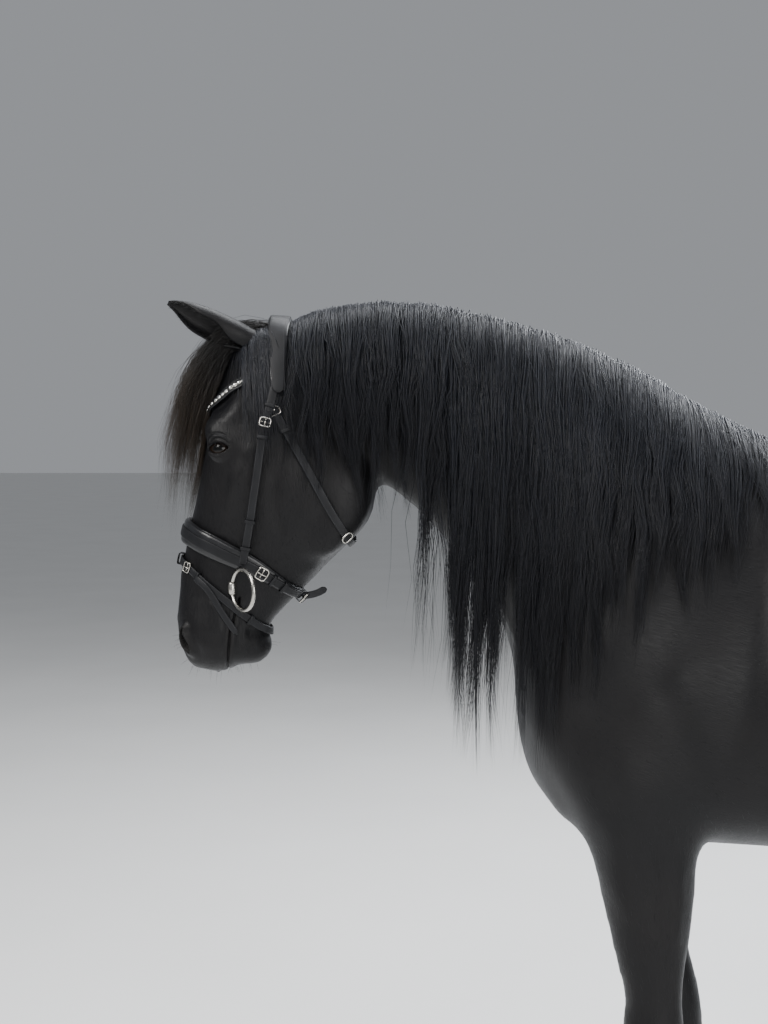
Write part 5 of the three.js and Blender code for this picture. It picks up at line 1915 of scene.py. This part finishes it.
def addTufts(name, mesh, count, weightOf, sizes, placeOf, widths, lift):
    places, normals = scatter(mesh, count, weightOf)
    lengths = rand.uniform(*sizes, count)
    paths = tuftPaths(places, normals, lengths, rand.uniform(*lift, count))
    facing = np.repeat(normals[:, None], paths.shape[1], 1)
    data = paths, rand.uniform(*widths, count), facing, placeOf(places), rand.random(count)
    addHair(name, strandMesh(*data, flat=0.12, tip=0.2), bodyHair, smoothed=False)


def onTheHead(points):
    return 1 - smooth(points[:, 0] + 0.5 * (points[:, 2] - 1500), -600, -520)


def bodyWeight(points, corners):
    leg = 1 - smooth(points[:, 2], 700, 950)
    return (1 - onTheHead(points)) * (0.55 + 0.9 * leg) * (points[:, 2] > 100)


def headWeight(points, corners):
    furred = (bareSkin[corners].mean(1) < 0.15) * ~nearEye(points, 30)
    return onTheHead(points) * furred * (0.4 + 0.6 * smooth(points[:, 2], 1200, 1330))


tableMesh = skinMesh.copy()  # the finished skin, back in mm
tableMesh.transform(tableToFrame.inverted())
addTufts("coat_body", tableMesh, 13000, bodyWeight, (12, 20), trunkPlace, (0.32, 0.5), (0.5, 0.95))
addTufts("coat_head", tableMesh, 9000, headWeight, (6, 10), headPlace, (0.2, 0.34), (0.35, 0.7))
print("short coat")


# Inner ear hair, lashes and whiskers
def buildEarHair(side, count=700, steps=6):
    share = rand.uniform(0.05, 0.92, count)
    edge = np.where(rand.random(count) < 0.5, -1, 1) * rand.uniform(0.72, 0.99, count)
    _, _, along, opening, across = earFrame(side)
    root = np.array([earPoint(side, s, e) for s, e in zip(share, edge)])
    inward = -across * np.sin(edge * 2.4)[:, None]
    length = rand.uniform(12, 26, count) * (1.05 - 0.6 * share)
    way = unit(along * 0.85 + opening * 0.42 + inward * 0.35 + rand.normal(0, 0.14, (count, 3)))
    t = np.linspace(0, 1, steps)[None, :, None]
    bow = opening * (-3 * np.sin(t * math.pi)) * 0.5
    paths = root[:, None] + way[:, None] * length[:, None, None] * t + bow
    facing = np.tile(opening, (count, steps, 1))
    roots = np.stack([0.5 + 0.45 * edge, 0.05 + 0.9 * share], 1)
    return paths, rand.uniform(0.3, 0.55, count), facing, roots, rand.random(count)


for sideName, side in sides.items():
    addHair(f"ear_hair_{sideName}", strandMesh(*buildEarHair(side)), bodyHair)


def buildLashes(side, count=46, steps=6):
    axes, centre = eyeAxes(side), np.array(mirrored(eyeShape["place"], side), float)
    a = np.linspace(-0.72, 0.8, count) * eyeShape["long"] + rand.normal(0, 0.5, count)
    b = eyeShape["up"] * (1 - np.abs(a / eyeShape["long"]) ** eyeShape["corners"]) + 1.2
    radius = eyeShape["radius"] + 4.2
    local = np.stack([a, b, np.sqrt(radius**2 - a * a - b * b)], 1)
    length = rand.uniform(12, 20, count)
    way = unit(np.stack([a * 0.012, -0.15 + rand.normal(0, 0.08, count), 1.0 + 0 * a], 1))
    t = np.linspace(0, 1, steps)[None, :, None]
    paths = local[:, None] + way[:, None] * length[:, None, None] * t + np.array([0, -5.0, 0]) * t**2
    paths = centre + paths @ axes.T
    facing = np.tile([0, 0, 1.0], (count, steps, 1))
    roots = np.stack([np.linspace(0.1, 0.9, count), np.full(count, 0.5)], 1)
    return paths, rand.uniform(0.28, 0.4, count), facing, roots, rand.random(count)


def muzzleWeight(points, corners):
    return (points[:, 2] < 1232) * (points[:, 2] > 1100) * (points[:, 0] < -640) * 1.0


def buildWhiskers(count=90, steps=5):
    places, normals = scatter(tableMesh, count, muzzleWeight)
    length = rand.uniform(8, 26, count)
    t = np.linspace(0, 1, steps)[None, :, None]
    paths = places[:, None] + normals[:, None] * length[:, None, None] * t + np.array([0, 0, -4.0]) * t**2
    facing = np.tile([0.3, 0.9, 0.2], (count, steps, 1))
    return paths, np.full(count, 0.22), facing, headPlace(places), rand.random(count)


for sideName, side in sides.items():
    addHair(f"lashes_{sideName}", strandMesh(*buildLashes(side)), bodyHair)
addHair("whiskers", strandMesh(*buildWhiskers()), bodyHair)
print("ears, lashes and whiskers")


# Floor, light and camera
def addStage():
    bm = bmesh.new()
    bmesh.ops.create_grid(bm, x_segments=8, y_segments=8, size=60)
    mesh = meshFrom(bm, "floor")
    material, tree = newMaterial("paleFloor")
    shade = tree.ramp(tree.noise(tree.place(), 1.4, 5.0), [(0, (0.66, 0.66, 0.65)), (1, (0.74, 0.74, 0.73))])
    tree.shade({"Base Color": shade, "Roughness": 0.7})
    mesh.materials.append(material)
    floor = bpy.data.objects.new("floor", mesh)
    bpy.context.scene.collection.objects.link(floor)
    world = bpy.data.worlds.new("studio")
    bpy.context.scene.world = world
    world.use_nodes = True
    sky = world.node_tree.nodes["Background"]
    sky.inputs["Color"].default_value = (0.80, 0.83, 0.88, 1)
    sky.inputs["Strength"].default_value = 0.38


def addLight(name, place, aim, size, power, colour):
    data = bpy.data.lights.new(name, "AREA")
    data.shape = "RECTANGLE"
    data.size, data.size_y = size
    data.energy = power
    data.color = colour
    light = bpy.data.objects.new(name, data)
    light.location = place
    light.rotation_euler = (Vector(aim) - Vector(place)).to_track_quat("-Z", "Y").to_euler()
    bpy.context.scene.collection.objects.link(light)


addStage()
addLight("key", (-3.6, -3.4, 4.4), (-0.4, 0, 1.3), (2.6, 2.6), 330, (1.0, 0.98, 0.95))
addLight("top", (0.2, 0.6, 4.6), (0, 0, 1.3), (3.4, 2.4), 300, (0.95, 0.97, 1.0))
addLight("rim", (2.2, 3.0, 3.4), (-0.4, 0, 1.5), (2.2, 2.2), 260, (0.92, 0.95, 1.0))
addLight("low", (1.6, -4.4, 1.6), (0.2, 0, 1.0), (3.0, 2.0), 120, (1.0, 0.99, 0.97))

cameraData = bpy.data.cameras.new("camera")
cameraData.lens, cameraData.sensor_width = 45.70, 36
camera = bpy.data.objects.new("camera", cameraData)
camera.location = (-0.772, -2.35, 1.58)
camera.rotation_euler = (math.radians(86.83), 0, 0)
bpy.context.scene.collection.objects.link(camera)
bpy.context.scene.camera = camera
